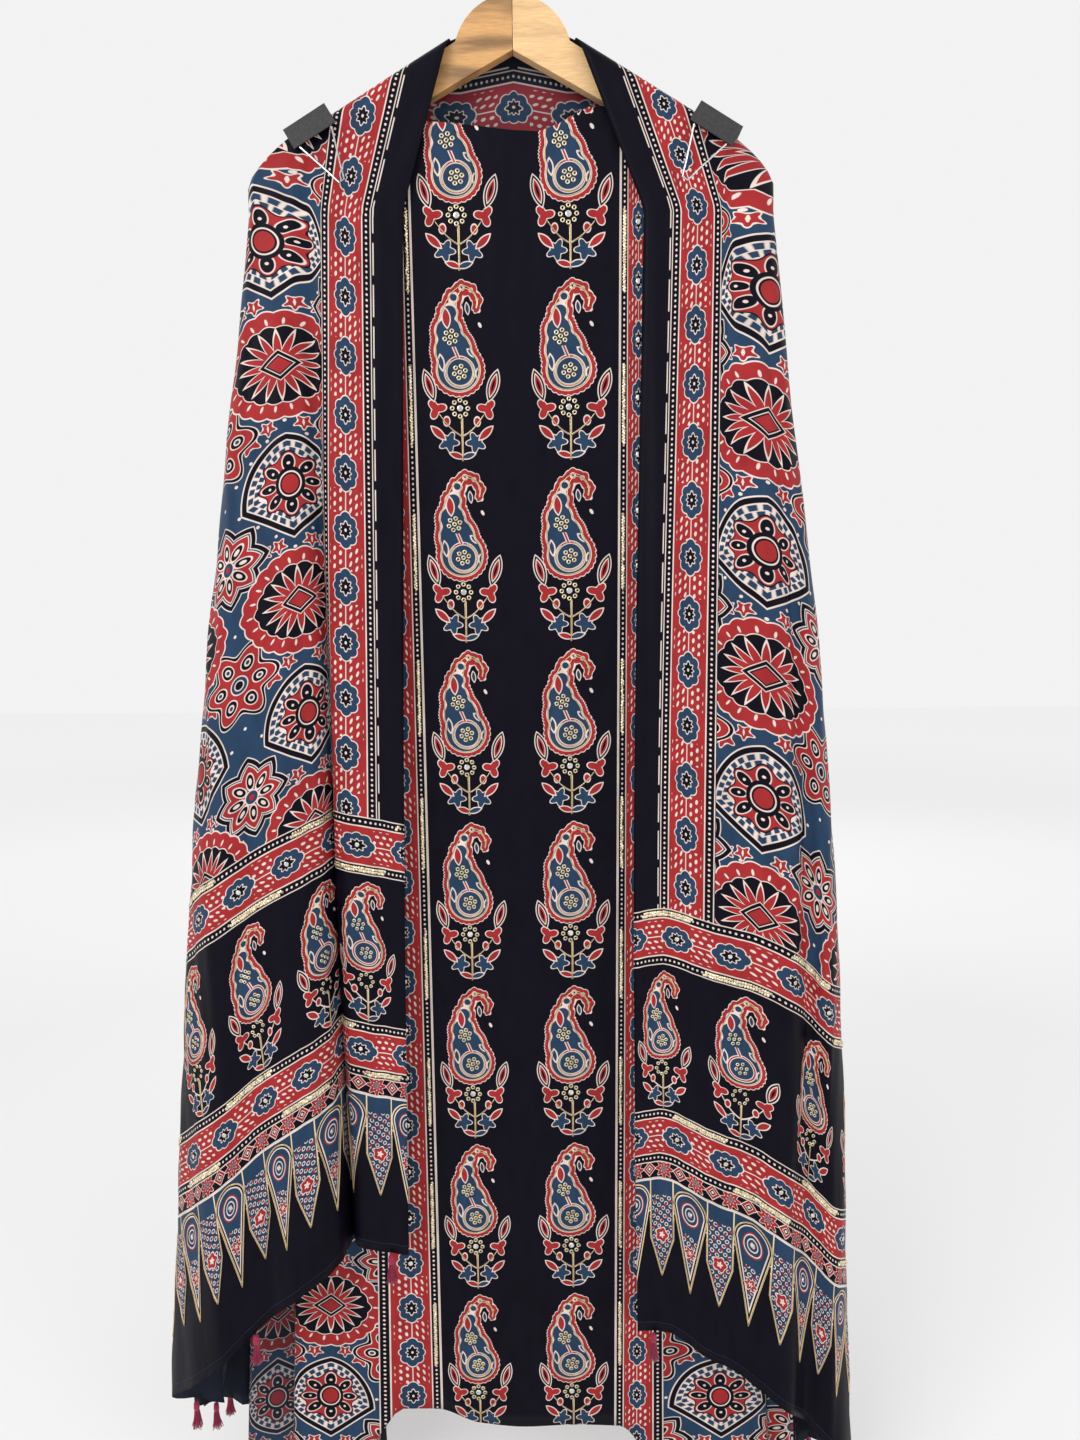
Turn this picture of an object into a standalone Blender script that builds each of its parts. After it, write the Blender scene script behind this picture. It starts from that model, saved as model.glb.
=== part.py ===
"""Ajrakh dress length and its shawl, hung on a wooden hanger and held by two spring clips.

Metres, +Z up. The origin is the point inside the hook that rests on a rail. +Y is the back.
"""
import math

import bpy
import numpy as np
from mathutils import Matrix, Vector

# Driving sizes
HEAD_TOP = -0.063           # top of the wooden head under the hook
HEAD_RADIUS = 0.050
ARM_SLOPE = 0.59            # drop of the arms for each metre outward
ARM_TOP = -0.071            # where the top lines of the two arms would meet
ARM_UNDER = -0.107          # where their undersides meet
UNDER_SLOPE = 0.535
ARM_REACH = 0.202
WOOD_THICK = 0.012
GAP = 0.0003
HOOK_WIRE = 0.002           # radius
HOOK_RADIUS = 0.020
RIDGE_TOP = -0.0663         # where the shawl's lines over the arms would meet
CLOTH_THICK = 0.0015
LEVELS = (-0.238, -0.768, -1.368)   # heights at which the fold tables give a place
ROUND_OVER = 0.014          # height in which cloth turns down over an arm
TURN_STEPS = (0.005, 0.011, 0.018, 0.028)   # distances of the first points down a line
SHOULDER_DROP = 0.050       # height in which it runs out to the end of an arm

# One row per hanging line of the shawl, from a front edge round the side to the back.
# share: how far along the arm the line starts; s, w: where it ends on the flat cloth;
# upper, middle, lower: (x, y) at LEVELS in mm, x outward; low: height of its lower end in mm.
LINE = ("share", "s", "w", "upper", "middle", "lower", "low")
LEFT_LINES = (
    (0.00, 1.150, 0.000, (94, -19), (104, -38), (112, -44), -1186),
    (0.35, 1.150, 0.035, (125, -21), (132, -40), (142, -45), -1181),
    (0.78, 1.150, 0.060, (158, -22), (165, -35), (156, -38), -1178),
    (1.00, 1.150, 0.090, (175, -22), (171, -21), (163, -20), -1180),
    (1.00, 1.150, 0.125, (186, -24), (179, -48), (170, -56), -1187),
    (1.00, 1.150, 0.170, (195, -24), (203, -61), (204, -75), -1206),
    (1.00, 1.150, 0.225, (205, -24), (232, -58), (243, -70), -1236),
    (1.00, 1.150, 0.285, (214, -22), (262, -61), (285, -78), -1275),
    (1.00, 1.150, 0.340, (221, -18), (286, -42), (322, -60), -1312),
    (1.00, 1.150, 0.400, (227, -7), (298, -14), (352, -26), -1350),
    (1.00, 1.150, 0.488, (228, 5), (270, 8), (316, 2), -1378),
    (1.00, 1.150, 0.584, (222, 14), (287, 31), (342, 30), -1402),
    (1.00, 1.150, 0.692, (214, 17), (254, 46), (296, 48), -1417),
    (1.00, 1.150, 0.800, (207, 19), (280, 68), (324, 72), -1420),
    (1.00, 0.900, 0.800, (199, 20), (238, 80), (274, 104), -1262),
    (1.00, 0.660, 0.800, (191, 21), (248, 98), (290, 120), -1110),
    (1.00, 0.450, 0.800, (183, 21), (205, 88), (230, 100), -1012),
    (1.00, 0.290, 0.800, (175, 20), (196, 104), (215, 120), -972),
    (1.00, 0.147, 0.800, (166, 20), (160, 84), (165, 96), -962),
    (0.78, 0.126, 0.800, (146, 21), (144, 66), (144, 80), -972),
    (0.35, 0.086, 0.800, (101, 20), (92, 44), (92, 52), -982),
    (0.00, 0.053, 0.800, (62, 18), (55, 50), (55, 60), -988),
)
RIGHT_LINES = (
    (0.00, 1.240, 0.000, (110, -19), (103, -38), (110, -45), -1267),
    (0.35, 1.240, 0.035, (138, -21), (130, -42), (137, -52), -1262),
    (0.78, 1.240, 0.078, (172, -22), (169, -46), (172, -58), -1284),
    (1.00, 1.240, 0.120, (186, -23), (207, -50), (207, -62), -1302),
    (1.00, 1.240, 0.165, (198, -23), (240, -50), (246, -72), -1330),
    (1.00, 1.240, 0.205, (207, -21), (258, -33), (272, -48), -1362),
    (1.00, 1.240, 0.250, (215, -16), (273, -38), (300, -52), -1392),
    (1.00, 1.240, 0.310, (222, -6), (287, -12), (322, -22), -1420),
    (1.00, 1.240, 0.424, (222, 6), (262, 8), (300, 6), -1446),
    (1.00, 1.240, 0.536, (216, 14), (276, 32), (314, 32), -1462),
    (1.00, 1.240, 0.664, (209, 17), (244, 46), (276, 50), -1470),
    (1.00, 1.240, 0.800, (203, 19), (268, 66), (304, 70), -1474),
    (1.00, 0.950, 0.800, (196, 20), (228, 80), (254, 106), -1300),
    (1.00, 0.680, 0.800, (189, 21), (238, 98), (274, 120), -1126),
    (1.00, 0.460, 0.800, (182, 21), (198, 88), (222, 100), -1020),
    (1.00, 0.290, 0.800, (174, 20), (190, 104), (210, 120), -975),
    (1.00, 0.142, 0.800, (165, 20), (155, 84), (160, 96), -962),
    (0.78, 0.122, 0.800, (144, 21), (142, 64), (142, 78), -972),
    (0.35, 0.083, 0.800, (99, 20), (90, 42), (90, 50), -982),
    (0.00, 0.051, 0.800, (60, 18), (52, 50), (52, 60), -988),
)
NECK_LINES = ((-46, 0.046), (-24, 0.024), (0, 0.0), (24, -0.024), (46, -0.046))     # x in mm, s, at the back of the neck
LEFT_CROSSING, RIGHT_CROSSING = 0.0525, 0.0525          # where the shawl's edge passes the arms
CLIP_ACROSS = 0.170                                     # where the shawl's lines gather

# One row per fold of the dress length: flat w, then (x, y) at the top and at the hem, and hem height.
KURTA_FOLD = ("w", "top", "hem", "low")
KURTA_FRONT = (
    (-426, (-200, -10.8), (-145, 15), -1446),
    (-352, (-182, -12.0), (-229, 11), -1445),
    (-346, (-180, -12.6), (-226, 6), -1444),
    (-288, (-165, -13.2), (-150, 4), -1443),
    (-282, (-163, -13.8), (-152, -1), -1442),
    (-222, (-148, -15.2), (-238, -6), -1441),
    (-216, (-146, -16.0), (-236, -12), -1440),
    (-178, (-132, -14.0), (-190, -9), -1436),
    (-146, (-120, -13.0), (-153, -11), -1412),
    (-125, (-110, -12.0), (-124, -12), -1376),
    (-95, (-94, -12.0), (-90, -11), -1377),
    (-48, (-48, -11.0), (-46, -10), -1394),
    (0, (0, -11.0), (0, -11), -1398),
    (48, (48, -11.0), (48, -10), -1397),
    (95, (95, -12.0), (95, -11), -1398),
    (128, (110, -12.5), (122, -13), -1424),
    (158, (123, -13.5), (160, -10), -1440),
    (190, (135, -14.5), (205, -15), -1450),
    (224, (147, -16.0), (246, -12), -1456),
    (230, (149, -15.2), (248, -6), -1457),
    (274, (160, -14.2), (192, -4), -1460),
    (280, (162, -13.6), (190, 1), -1461),
    (354, (180, -12.6), (277, 1), -1464),
    (360, (182, -12.0), (279, 6), -1465),
    (426, (198, -10.8), (208, 13), -1466),
)
KURTA_BACK = (
    (-426, (-200, -8.8), (-290, 34), -1462),
    (-378, (-188, -8.8), (-268, 29), -1460),
    (-330, (-176, -8.8), (-292, 20), -1458),
    (-274, (-160, -8.8), (-238, 20), -1450),
    (-218, (-145, -8.8), (-200, 26), -1440),
    (-170, (-130, -8.8), (-160, 20), -1420),
    (-95, (-94, -8.8), (-90, 12), -1375),
    (0, (0, -8.8), (0, 9), -1388),
    (95, (95, -8.8), (95, 12), -1390),
    (170, (130, -8.8), (162, 20), -1430),
    (218, (145, -8.8), (204, 27), -1450),
    (274, (160, -8.8), (240, 22), -1462),
    (330, (176, -8.8), (280, 20), -1470),
    (378, (188, -8.8), (256, 27), -1472),
    (426, (200, -8.8), (276, 31), -1474),
)
FOLD_LINE = ((-0.215, -0.210), (-0.170, -0.184), (-0.150, -0.173), (-0.100, -0.167), (-0.062, -0.1665),
             (-0.030, -0.170), (0.0, -0.1735), (0.022, -0.1745), (0.040, -0.168), (0.062, -0.156),
             (0.100, -0.154), (0.150, -0.173), (0.170, -0.184), (0.215, -0.210))   # (x, z) of the top fold

TASSEL_LENGTH, TASSEL_RADIUS = 0.030, 0.0055
# the end and the w of each tassel's place on the hem
TASSELS = (("left", 0.02), ("left", 0.24), ("left", 0.448), ("left", 0.624), ("left", 0.784),
           ("right", 0.02), ("right", 0.24), ("right", 0.448), ("right", 0.624), ("right", 0.784))

CLIP_LONG, CLIP_SPINE, CLIP_DEEP, CLIP_STEEL = 0.041, 0.042, 0.020, 0.0008
CLIP_FOOT = 0.0280          # half the gap between the jaws
CLIP_WIRE = 0.0008
CLIP_MIDDLE = 0.1725        # how far out the middle of each clip sits
CLIP_LIFT = 0.0045          # spine above the shawl's line


def material(name, colour, rough, metal=0.0):
    made = bpy.data.materials.new(name)
    made.use_nodes = True
    shader = made.node_tree.nodes["Principled BSDF"]
    shader.inputs["Base Color"].default_value = (*colour, 1)
    shader.inputs["Roughness"].default_value = rough
    shader.inputs["Metallic"].default_value = metal
    return made


def eased(levels, values, height):
    """A smooth curve through a value at each level, by cubics whose slopes are those of the neighbours."""
    levels, values = np.asarray(levels), np.asarray(values, float)
    slope = np.gradient(values, levels, axis=0)
    i = np.clip(np.searchsorted(-levels, -height) - 1, 0, len(levels) - 2)
    span = levels[i + 1] - levels[i]
    t = np.clip((height - levels[i]) / span, 0, 1.3)[:, None]
    a, b, span = values[i], values[i + 1], span[:, None]
    return ((2 * t**3 - 3 * t**2 + 1) * a + (t**3 - 2 * t**2 + t) * span * slope[i]
            + (3 * t**2 - 2 * t**3) * b + (t**3 - t**2) * span * slope[i + 1])


def hanging_line(top, side, row, steps):
    """Points down one line of the shawl: a quarter turn off the arm, then the table's places."""
    row = dict(zip(LINE, row))
    places = np.array([row["upper"], row["middle"], row["lower"]]) / 1000 * (side, 1)
    low = row["low"] / 1000
    u = np.linspace(0, 1, 240)
    z = top[2] + (low - top[2]) * u**1.6
    drop = top[2] - z
    below = eased(LEVELS, places, z)
    whole = top[2] - LEVELS[0]
    turn = np.sqrt(1 - (1 - np.clip(drop / ROUND_OVER, 0, 1))**2)
    over = 1 - (1 - np.clip(drop / SHOULDER_DROP, 0, 1))**1.6
    end_on = min(1, max(0, abs(places[0][0]) - 0.190) / 0.030)
    straight = np.clip(drop / whole, 0, 1)
    x = top[0] + (places[0][0] - top[0]) * (straight * (1 - end_on) + over * end_on)
    near = 0.88 * places[0][1]
    y = top[1] + (near - top[1]) * turn
    y += (places[0][1] - near) * straight
    upper = z > LEVELS[0]
    points = np.stack([np.where(upper, x, below[:, 0]), np.where(upper, y, below[:, 1]), z], 1)
    length = np.concatenate([[0], np.cumsum(np.linalg.norm(np.diff(points, axis=0), axis=1))])
    rest = np.linspace(0, 1, steps - len(TURN_STEPS) + 1)[1:]**1.1
    at = np.concatenate([[0], TURN_STEPS, TURN_STEPS[-1] + rest * (length[-1] - TURN_STEPS[-1])])
    return np.stack([np.interp(at, length, points[:, k]) for k in range(3)], 1)


def side_lines(rows, side, crossing, steps):
    """The lines of one half of the shawl, front edge to back, and the share where each starts."""
    made = []
    for row in rows:
        across = crossing + row[0] * (CLIP_ACROSS - crossing)
        top = (side * across, 0.0, RIDGE_TOP - ARM_SLOPE * across)
        made.append(hanging_line(np.array(top), side, row, steps))
    return made


def neck_line(x, steps):
    top = (x / 1000, 0.0115, -0.080 - 0.0002 * abs(x))
    row = (0, 0, 0, (abs(x), 19), (abs(x), 38), (abs(x), 44), -988)
    line = hanging_line(np.array(top), math.copysign(1, x), row, steps)
    line[:, 1] = np.maximum(line[:, 1], 0.0115)
    return line


def cloth(name, grid_points, faces, finish, home):
    """A sheet from points and faces, given its thickness evenly about them."""
    mesh = bpy.data.meshes.new(name)
    mesh.from_pydata([tuple(p) for p in grid_points], [], faces)
    mesh.shade_smooth()
    made = bpy.data.objects.new(name, mesh)
    home.objects.link(made)
    mesh.materials.append(finish)
    thick = made.modifiers.new("thickness", "SOLIDIFY")
    thick.thickness = CLOTH_THICK
    thick.offset = 0
    thick.use_even_offset = False
    return made


def shawl(finish, home, steps=23):
    """The shawl: its hanging lines side by side, the front and back ones of an arm sharing their tops."""
    left = side_lines(LEFT_LINES, -1, LEFT_CROSSING, steps)
    right = side_lines(RIGHT_LINES, 1, RIGHT_CROSSING, steps)
    neck = [neck_line(x, steps) for x, _ in NECK_LINES]
    lines = left + neck + right[::-1]
    points, number = [], {}
    columns = []
    for line in lines:
        column = []
        for p in line:
            key = tuple(np.round(p, 7))
            if key not in number:
                number[key] = len(points)
                points.append(p)
            column.append(number[key])
        columns.append(column)
    faces = []
    for a, b in zip(columns, columns[1:]):
        for j in range(steps):
            ring = [a[j], a[j + 1], b[j + 1], b[j]]
            faces.append([k for i, k in enumerate(ring) if k != ring[i - 1]])
    return cloth("shawl", points, faces, finish, home), left, right


def kurta(finish, home, rows=15):
    """The dress length: a layer in front and one behind it, joined by the fold along its top."""
    def layer(table, w):
        flat = np.array([r[0] for r in table]) / 1000
        columns = []
        for k in range(2):
            for j in (1, 2):
                columns.append(np.array([r[j][k] for r in table]) / 1000)
        columns.append(np.array([r[3] for r in table]) / 1000)
        return [np.interp(w, flat, c) for c in columns]

    across = np.array(sorted({r[0] for r in KURTA_FRONT} | {r[0] for r in KURTA_BACK})) / 1000
    fold_x, fold_z = np.array(FOLD_LINE).T
    points, columns = [], []
    for w in across:
        sheet = []
        for table, way in ((KURTA_FRONT, 1), (KURTA_BACK, -1)):
            top_x, hem_x, top_y, hem_y, low = layer(table, w)
            top_z = np.interp(top_x, fold_x, fold_z)
            side = []
            for t in np.linspace(0, 1, rows + 1)**1.1:
                open_up = t**0.7
                x = top_x + (hem_x - top_x) * open_up
                y = top_y + (hem_y - top_y) * open_up
                side.append((x, y, top_z + (low - top_z) * t))
            sheet.append(side)
        front_y = np.interp(w, [r[0] / 1000 for r in KURTA_FRONT], [r[1][1] / 1000 for r in KURTA_FRONT])
        crown = (np.interp(w, [r[0] / 1000 for r in KURTA_FRONT], [r[1][0] / 1000 for r in KURTA_FRONT]),
                 (front_y - 0.008) / 2)
        top_z = np.interp(crown[0], fold_x, fold_z)
        strip = sheet[0][::-1] + [(crown[0], crown[1], top_z + 0.0016)] + sheet[1]
        columns.append(range(len(points), len(points) + len(strip)))
        points += strip
    faces = []
    for a, b in zip(columns, columns[1:]):
        for j in range(len(a) - 1):
            faces.append((a[j], b[j], b[j + 1], a[j + 1]))
    return cloth("dress_length", points, faces, finish, home)


def wooden_half(name, side, finish, home):
    """One half of the hanger: a round head running into a sloping arm with a round end."""
    centre_z = HEAD_TOP - HEAD_RADIUS
    reach = [(GAP / 2, ARM_UNDER)]
    meet = next(a for a in np.radians(np.arange(89.0, 0, -1))
                if centre_z + HEAD_RADIUS * math.sin(a) <= ARM_TOP - ARM_SLOPE * HEAD_RADIUS * math.cos(a) - 1e-4
                and math.cos(a) > 0.5)
    top = [(GAP / 2, HEAD_TOP)]
    for a in np.linspace(math.radians(88), meet, 14):
        top.append((HEAD_RADIUS * math.cos(a), centre_z + HEAD_RADIUS * math.sin(a)))
    end_top = (ARM_REACH - 0.014, ARM_TOP - ARM_SLOPE * (ARM_REACH - 0.014))
    end_low = (ARM_REACH - 0.022, ARM_UNDER - UNDER_SLOPE * (ARM_REACH - 0.022))
    middle = ((end_top[0] + end_low[0]) / 2, (end_top[1] + end_low[1]) / 2)
    half = math.dist(end_top, end_low) / 2
    start = math.atan2(end_top[1] - middle[1], end_top[0] - middle[0])
    end = [(middle[0] + half * math.cos(start - math.pi * t), middle[1] + half * math.sin(start - math.pi * t))
           for t in np.linspace(0, 1, 11)]
    outline = top + end + reach
    curve = bpy.data.curves.new(name + "_outline", "CURVE")
    curve.dimensions = "2D"
    curve.fill_mode = "BOTH"
    curve.extrude = WOOD_THICK / 2
    spline = curve.splines.new("POLY")
    spline.points.add(len(outline) - 1)
    for point, (x, z) in zip(spline.points, outline):
        point.co = (side * x, z, 0, 1)
    spline.use_cyclic_u = True
    drawn = bpy.data.objects.new(name + "_outline", curve)
    drawn.rotation_euler = (math.pi / 2, 0, 0)
    home.objects.link(drawn)
    bpy.context.view_layer.update()
    graph = bpy.context.evaluated_depsgraph_get()
    mesh = bpy.data.meshes.new_from_object(drawn.evaluated_get(graph))
    mesh.name = name
    made = bpy.data.objects.new(name, mesh)
    made.matrix_world = drawn.matrix_world.copy()
    bpy.data.objects.remove(drawn)
    home.objects.link(made)
    mesh.materials.append(finish)
    weld = made.modifiers.new("weld", "WELD")
    weld.merge_threshold = 0.00002
    soften = made.modifiers.new("edges", "BEVEL")
    soften.width = 0.0015
    soften.segments = 2
    soften.limit_method = "ANGLE"
    soften.angle_limit = math.radians(50)
    return made


def tube(name, path, radius, finish, home, closed=False):
    """A round wire through the given points."""
    curve = bpy.data.curves.new(name, "CURVE")
    curve.dimensions = "3D"
    curve.bevel_depth = radius
    curve.bevel_resolution = 2
    curve.use_fill_caps = True
    spline = curve.splines.new("POLY")
    spline.points.add(len(path) - 1)
    for point, place in zip(spline.points, path):
        point.co = (*place, 1)
    spline.use_cyclic_u = closed
    made = bpy.data.objects.new(name, curve)
    curve.materials.append(finish)
    home.objects.link(made)
    return made


def bezier(a, b, c, d, count):
    t = np.linspace(0, 1, count)[:, None]
    a, b, c, d = map(np.array, (a, b, c, d))
    return (1 - t)**3 * a + 3 * t * (1 - t)**2 * b + 3 * t * t * (1 - t) * c + t**3 * d


def hook(finish, home):
    """Steel hook: a shank let into the head, bending round to the rail's side."""
    centre_z = HOOK_WIRE - HOOK_RADIUS
    start = math.radians(-40)
    on_ring = (HOOK_RADIUS * math.cos(start), 0, centre_z + HOOK_RADIUS * math.sin(start))
    shank = [(0, 0, z) for z in np.linspace(HEAD_TOP - 0.018, HEAD_TOP + 0.006, 4)]
    rise = bezier(shank[-1], (0, 0, -0.046), (on_ring[0] - 0.006, 0, on_ring[2] - 0.007), on_ring, 7)[1:]
    ring = [(HOOK_RADIUS * math.cos(a), 0, centre_z + HOOK_RADIUS * math.sin(a))
            for a in np.linspace(start, math.radians(205), 26)[1:]]
    return tube("hanger_hook", shank + [tuple(p) for p in rise] + ring, HOOK_WIRE, finish, home)


def clip(side, name, steel, wire, home):
    """A spring clip astride the arm: a bent steel body and a wire handle lying down each face."""
    slope = math.atan(ARM_SLOPE)
    along = Vector((side * math.cos(slope), 0, -math.sin(slope)))
    up = Vector((side * math.sin(slope), 0, math.cos(slope)))
    middle = Vector((side * CLIP_MIDDLE, 0, RIDGE_TOP - ARM_SLOPE * CLIP_MIDDLE))
    half, foot = CLIP_SPINE / 2, CLIP_FOOT
    profile = [(-foot, -CLIP_DEEP + CLIP_LIFT), (-half, CLIP_LIFT), (half, CLIP_LIFT), (foot, -CLIP_DEEP + CLIP_LIFT)]
    points, faces = [], []
    for step in (-0.5, 0.5):
        for y, n in profile:
            points.append(middle + along * (step * CLIP_LONG * side) + up * n + Vector((0, y, 0)))
    for k in range(3):
        faces.append((k, k + 1, k + 5, k + 4))
    mesh = bpy.data.meshes.new(name)
    mesh.from_pydata(points, [], faces)
    mesh.materials.append(steel)
    body = bpy.data.objects.new(name, mesh)
    home.objects.link(body)
    thick = body.modifiers.new("steel", "SOLIDIFY")
    thick.thickness = CLIP_STEEL
    thick.offset = 0
    for face, sign in (("front", -1), ("back", 1)):
        lip = middle + up * (CLIP_LIFT - CLIP_DEEP - CLIP_WIRE - 0.0009) + Vector((0, sign * (foot + 0.0012), 0))
        spread = along * side
        path = []
        for share, reach in ((0.38, 0.0), (0.30, 0.010), (0.14, 0.030), (0.10, 0.036)):
            path.append(lip + spread * (share * CLIP_LONG) + up * -reach + Vector((0, sign * reach * 0.06, 0)))
        tip = lip - up * 0.041 + Vector((0, sign * 0.0025, 0))
        path += [tip + spread * 0.0025, tip - spread * 0.0025]
        for share, reach in ((0.10, 0.036), (0.14, 0.030), (0.30, 0.010), (0.38, 0.0)):
            path.append(lip - spread * (share * CLIP_LONG) + up * -reach + Vector((0, sign * reach * 0.06, 0)))
        tube(f"{name}_handle_{face}", path, CLIP_WIRE, wire, home)


def tassel(name, place, finish, home):
    """A short brush tassel hanging from the hem: a bound neck and a flaring skirt."""
    profile = ((0.0009, 0.0), (0.0022, -0.003), (0.0026, -0.007), (0.0036, -0.012),
               (TASSEL_RADIUS, -TASSEL_LENGTH))
    mesh = bpy.data.meshes.new(name)
    outline = [(0, 0, 0)] + [(r, 0, z) for r, z in profile] + [(0, 0, -TASSEL_LENGTH)]
    mesh.from_pydata(outline, [(i, i + 1) for i in range(len(outline) - 1)], [])
    mesh.materials.append(finish)
    made = bpy.data.objects.new(name, mesh)
    made.location = place
    home.objects.link(made)
    turn = made.modifiers.new("turn", "SCREW")
    turn.steps = turn.render_steps = 10
    turn.use_merge_vertices = True
    turn.merge_threshold = 0.0001
    return made


def hem_place(rows, lines, w):
    """The lowest point of the line of cloth at w across the hem."""
    hem = [(row[2], line[-1]) for row, line in zip(rows, lines) if row[1] == rows[0][1]]
    flat = [h[0] for h in hem]
    return Vector([np.interp(w, flat, [h[1][k] for h in hem]) for k in range(3)])


def main():
    for old in list(bpy.data.objects):
        bpy.data.objects.remove(old, do_unlink=True)
    home = bpy.data.collections.new("ajrakh_cloth_on_hanger")
    cutters = bpy.data.collections.new("cutters")
    for group in (home, cutters):
        bpy.context.scene.collection.children.link(group)
    oak = material("pale_wood", (0.72, 0.47, 0.22), 0.45)
    brown_oak = material("brown_wood", (0.60, 0.34, 0.13), 0.45)
    bright = material("bright_steel", (0.75, 0.75, 0.76), 0.22, 1.0)
    dark = material("dark_steel", (0.045, 0.045, 0.048), 0.4)
    black_silk = material("black_printed_silk", (0.016, 0.012, 0.022), 0.45)
    red_silk = material("red_printed_silk", (0.38, 0.03, 0.03), 0.5)
    crimson = material("crimson_thread", (0.30, 0.004, 0.03), 0.7)

    halves = [wooden_half("hanger_left_half", -1, brown_oak, home),
              wooden_half("hanger_right_half", 1, oak, home)]
    bpy.ops.mesh.primitive_cylinder_add(vertices=16, radius=HOOK_WIRE + 0.0004, depth=0.040,
                                        location=(0, 0, HEAD_TOP + 0.0008))
    bore = bpy.context.object
    bore.name = "hook_bore"
    bore.hide_render, bore.display_type = True, "WIRE"
    for group in list(bore.users_collection):
        group.objects.unlink(bore)
    cutters.objects.link(bore)
    for half in halves:
        cut = half.modifiers.new("bore", "BOOLEAN")
        cut.object = bore
        cut.operation = "DIFFERENCE"
        cut.solver = "EXACT"
    hook(bright, home)
    kurta(black_silk, home)
    _, left, right = shawl(red_silk, home)
    for side, name in ((-1, "clip_left"), (1, "clip_right")):
        clip(side, name, dark, bright, home)
    for number, (where, w) in enumerate(TASSELS):
        rows, lines = (LEFT_LINES, left) if where == "left" else (RIGHT_LINES, right)
        place = hem_place(rows, lines, w) - Vector((0, 0, 0.0020))
        tassel(f"tassel_{where}_{number % 5 + 1}", place, crimson, home)


main()
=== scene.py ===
"""Ajrakh dress length and shawl on a wooden hanger: the printed, stitched and hung cloths in full.

Metres, +Z up, the front towards -Y. Every cloth carries two UV maps in metres: "flat" is the
place on the uncut cloth and "end" the place measured from the hem.
"""

import math

import bpy
import numpy as np
from bpy.props import FloatProperty, FloatVectorProperty, IntProperty, PointerProperty
from mathutils import Matrix, Vector


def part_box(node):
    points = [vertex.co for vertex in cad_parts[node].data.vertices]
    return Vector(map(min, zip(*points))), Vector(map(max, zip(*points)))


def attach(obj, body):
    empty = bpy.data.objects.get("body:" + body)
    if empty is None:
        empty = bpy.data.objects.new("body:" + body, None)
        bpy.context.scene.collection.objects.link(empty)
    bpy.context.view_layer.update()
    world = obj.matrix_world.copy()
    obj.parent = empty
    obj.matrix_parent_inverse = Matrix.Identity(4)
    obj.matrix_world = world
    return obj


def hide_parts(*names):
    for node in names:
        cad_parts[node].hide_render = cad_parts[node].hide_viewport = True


bl_info = {
    "name": "Ajrakh Cloth on a Hanger",
    "version": (1, 0, 0),
    "blender": (4, 5, 0),
    "location": "View3D > Sidebar > Ajrakh",
    "description": "Block-printed dress length and tasselled shawl hung on a wooden hanger",
    "category": "Object",
}

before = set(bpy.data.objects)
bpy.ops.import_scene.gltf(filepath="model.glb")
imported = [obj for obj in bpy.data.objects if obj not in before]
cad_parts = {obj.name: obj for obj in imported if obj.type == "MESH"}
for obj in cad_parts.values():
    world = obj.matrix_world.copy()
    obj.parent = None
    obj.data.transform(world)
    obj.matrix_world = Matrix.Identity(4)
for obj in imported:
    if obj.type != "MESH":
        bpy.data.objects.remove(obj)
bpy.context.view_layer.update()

MM = 0.001
TURN = 2 * math.pi

# The hung shape of both cloths, as the frame's solids have it.
ARM_SLOPE = 0.59
RIDGE_TOP = -0.0663
LEVELS = (-0.238, -0.768, -1.368)
ROUND_OVER = 0.014
SHOULDER_DROP = 0.050
CROSSING, CLIP_ACROSS = 0.0525, 0.170
SHAWL_WIDTH = 0.80
DRESS_HALF, FOLD_LEVEL = 0.426, -0.168
# One row a line of the shawl: its share of the way along the arm, s and w at the hem in metres,
# then (x, y) at each of LEVELS and the height of the hem in mm.
LEFT_LINES = (
    (0.00, 1.150, 0.000, 94, -19, 104, -38, 112, -44, -1186),
    (0.35, 1.150, 0.035, 125, -21, 132, -40, 142, -45, -1181),
    (0.78, 1.150, 0.060, 158, -22, 165, -35, 156, -38, -1178),
    (1.00, 1.150, 0.090, 175, -22, 171, -21, 163, -20, -1180),
    (1.00, 1.150, 0.125, 186, -24, 179, -48, 170, -56, -1187),
    (1.00, 1.150, 0.170, 195, -24, 203, -61, 204, -75, -1206),
    (1.00, 1.150, 0.225, 205, -24, 232, -58, 243, -70, -1236),
    (1.00, 1.150, 0.285, 214, -22, 262, -61, 285, -78, -1275),
    (1.00, 1.150, 0.340, 221, -18, 286, -42, 322, -60, -1312),
    (1.00, 1.150, 0.400, 227, -7, 298, -14, 352, -26, -1350),
    (1.00, 1.150, 0.488, 228, 5, 270, 8, 316, 2, -1378),
    (1.00, 1.150, 0.584, 222, 14, 287, 31, 342, 30, -1402),
    (1.00, 1.150, 0.692, 214, 17, 254, 46, 296, 48, -1417),
    (1.00, 1.150, 0.800, 207, 19, 280, 68, 324, 72, -1420),
    (1.00, 0.900, 0.800, 199, 20, 238, 80, 274, 104, -1262),
    (1.00, 0.660, 0.800, 191, 21, 248, 98, 290, 120, -1110),
    (1.00, 0.450, 0.800, 183, 21, 205, 88, 230, 100, -1012),
    (1.00, 0.290, 0.800, 175, 20, 196, 104, 215, 120, -972),
    (1.00, 0.147, 0.800, 166, 20, 160, 84, 165, 96, -962),
    (0.78, 0.126, 0.800, 146, 21, 144, 66, 144, 80, -972),
    (0.35, 0.086, 0.800, 101, 20, 92, 44, 92, 52, -982),
    (0.00, 0.053, 0.800, 62, 18, 55, 50, 55, 60, -988),
)
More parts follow.
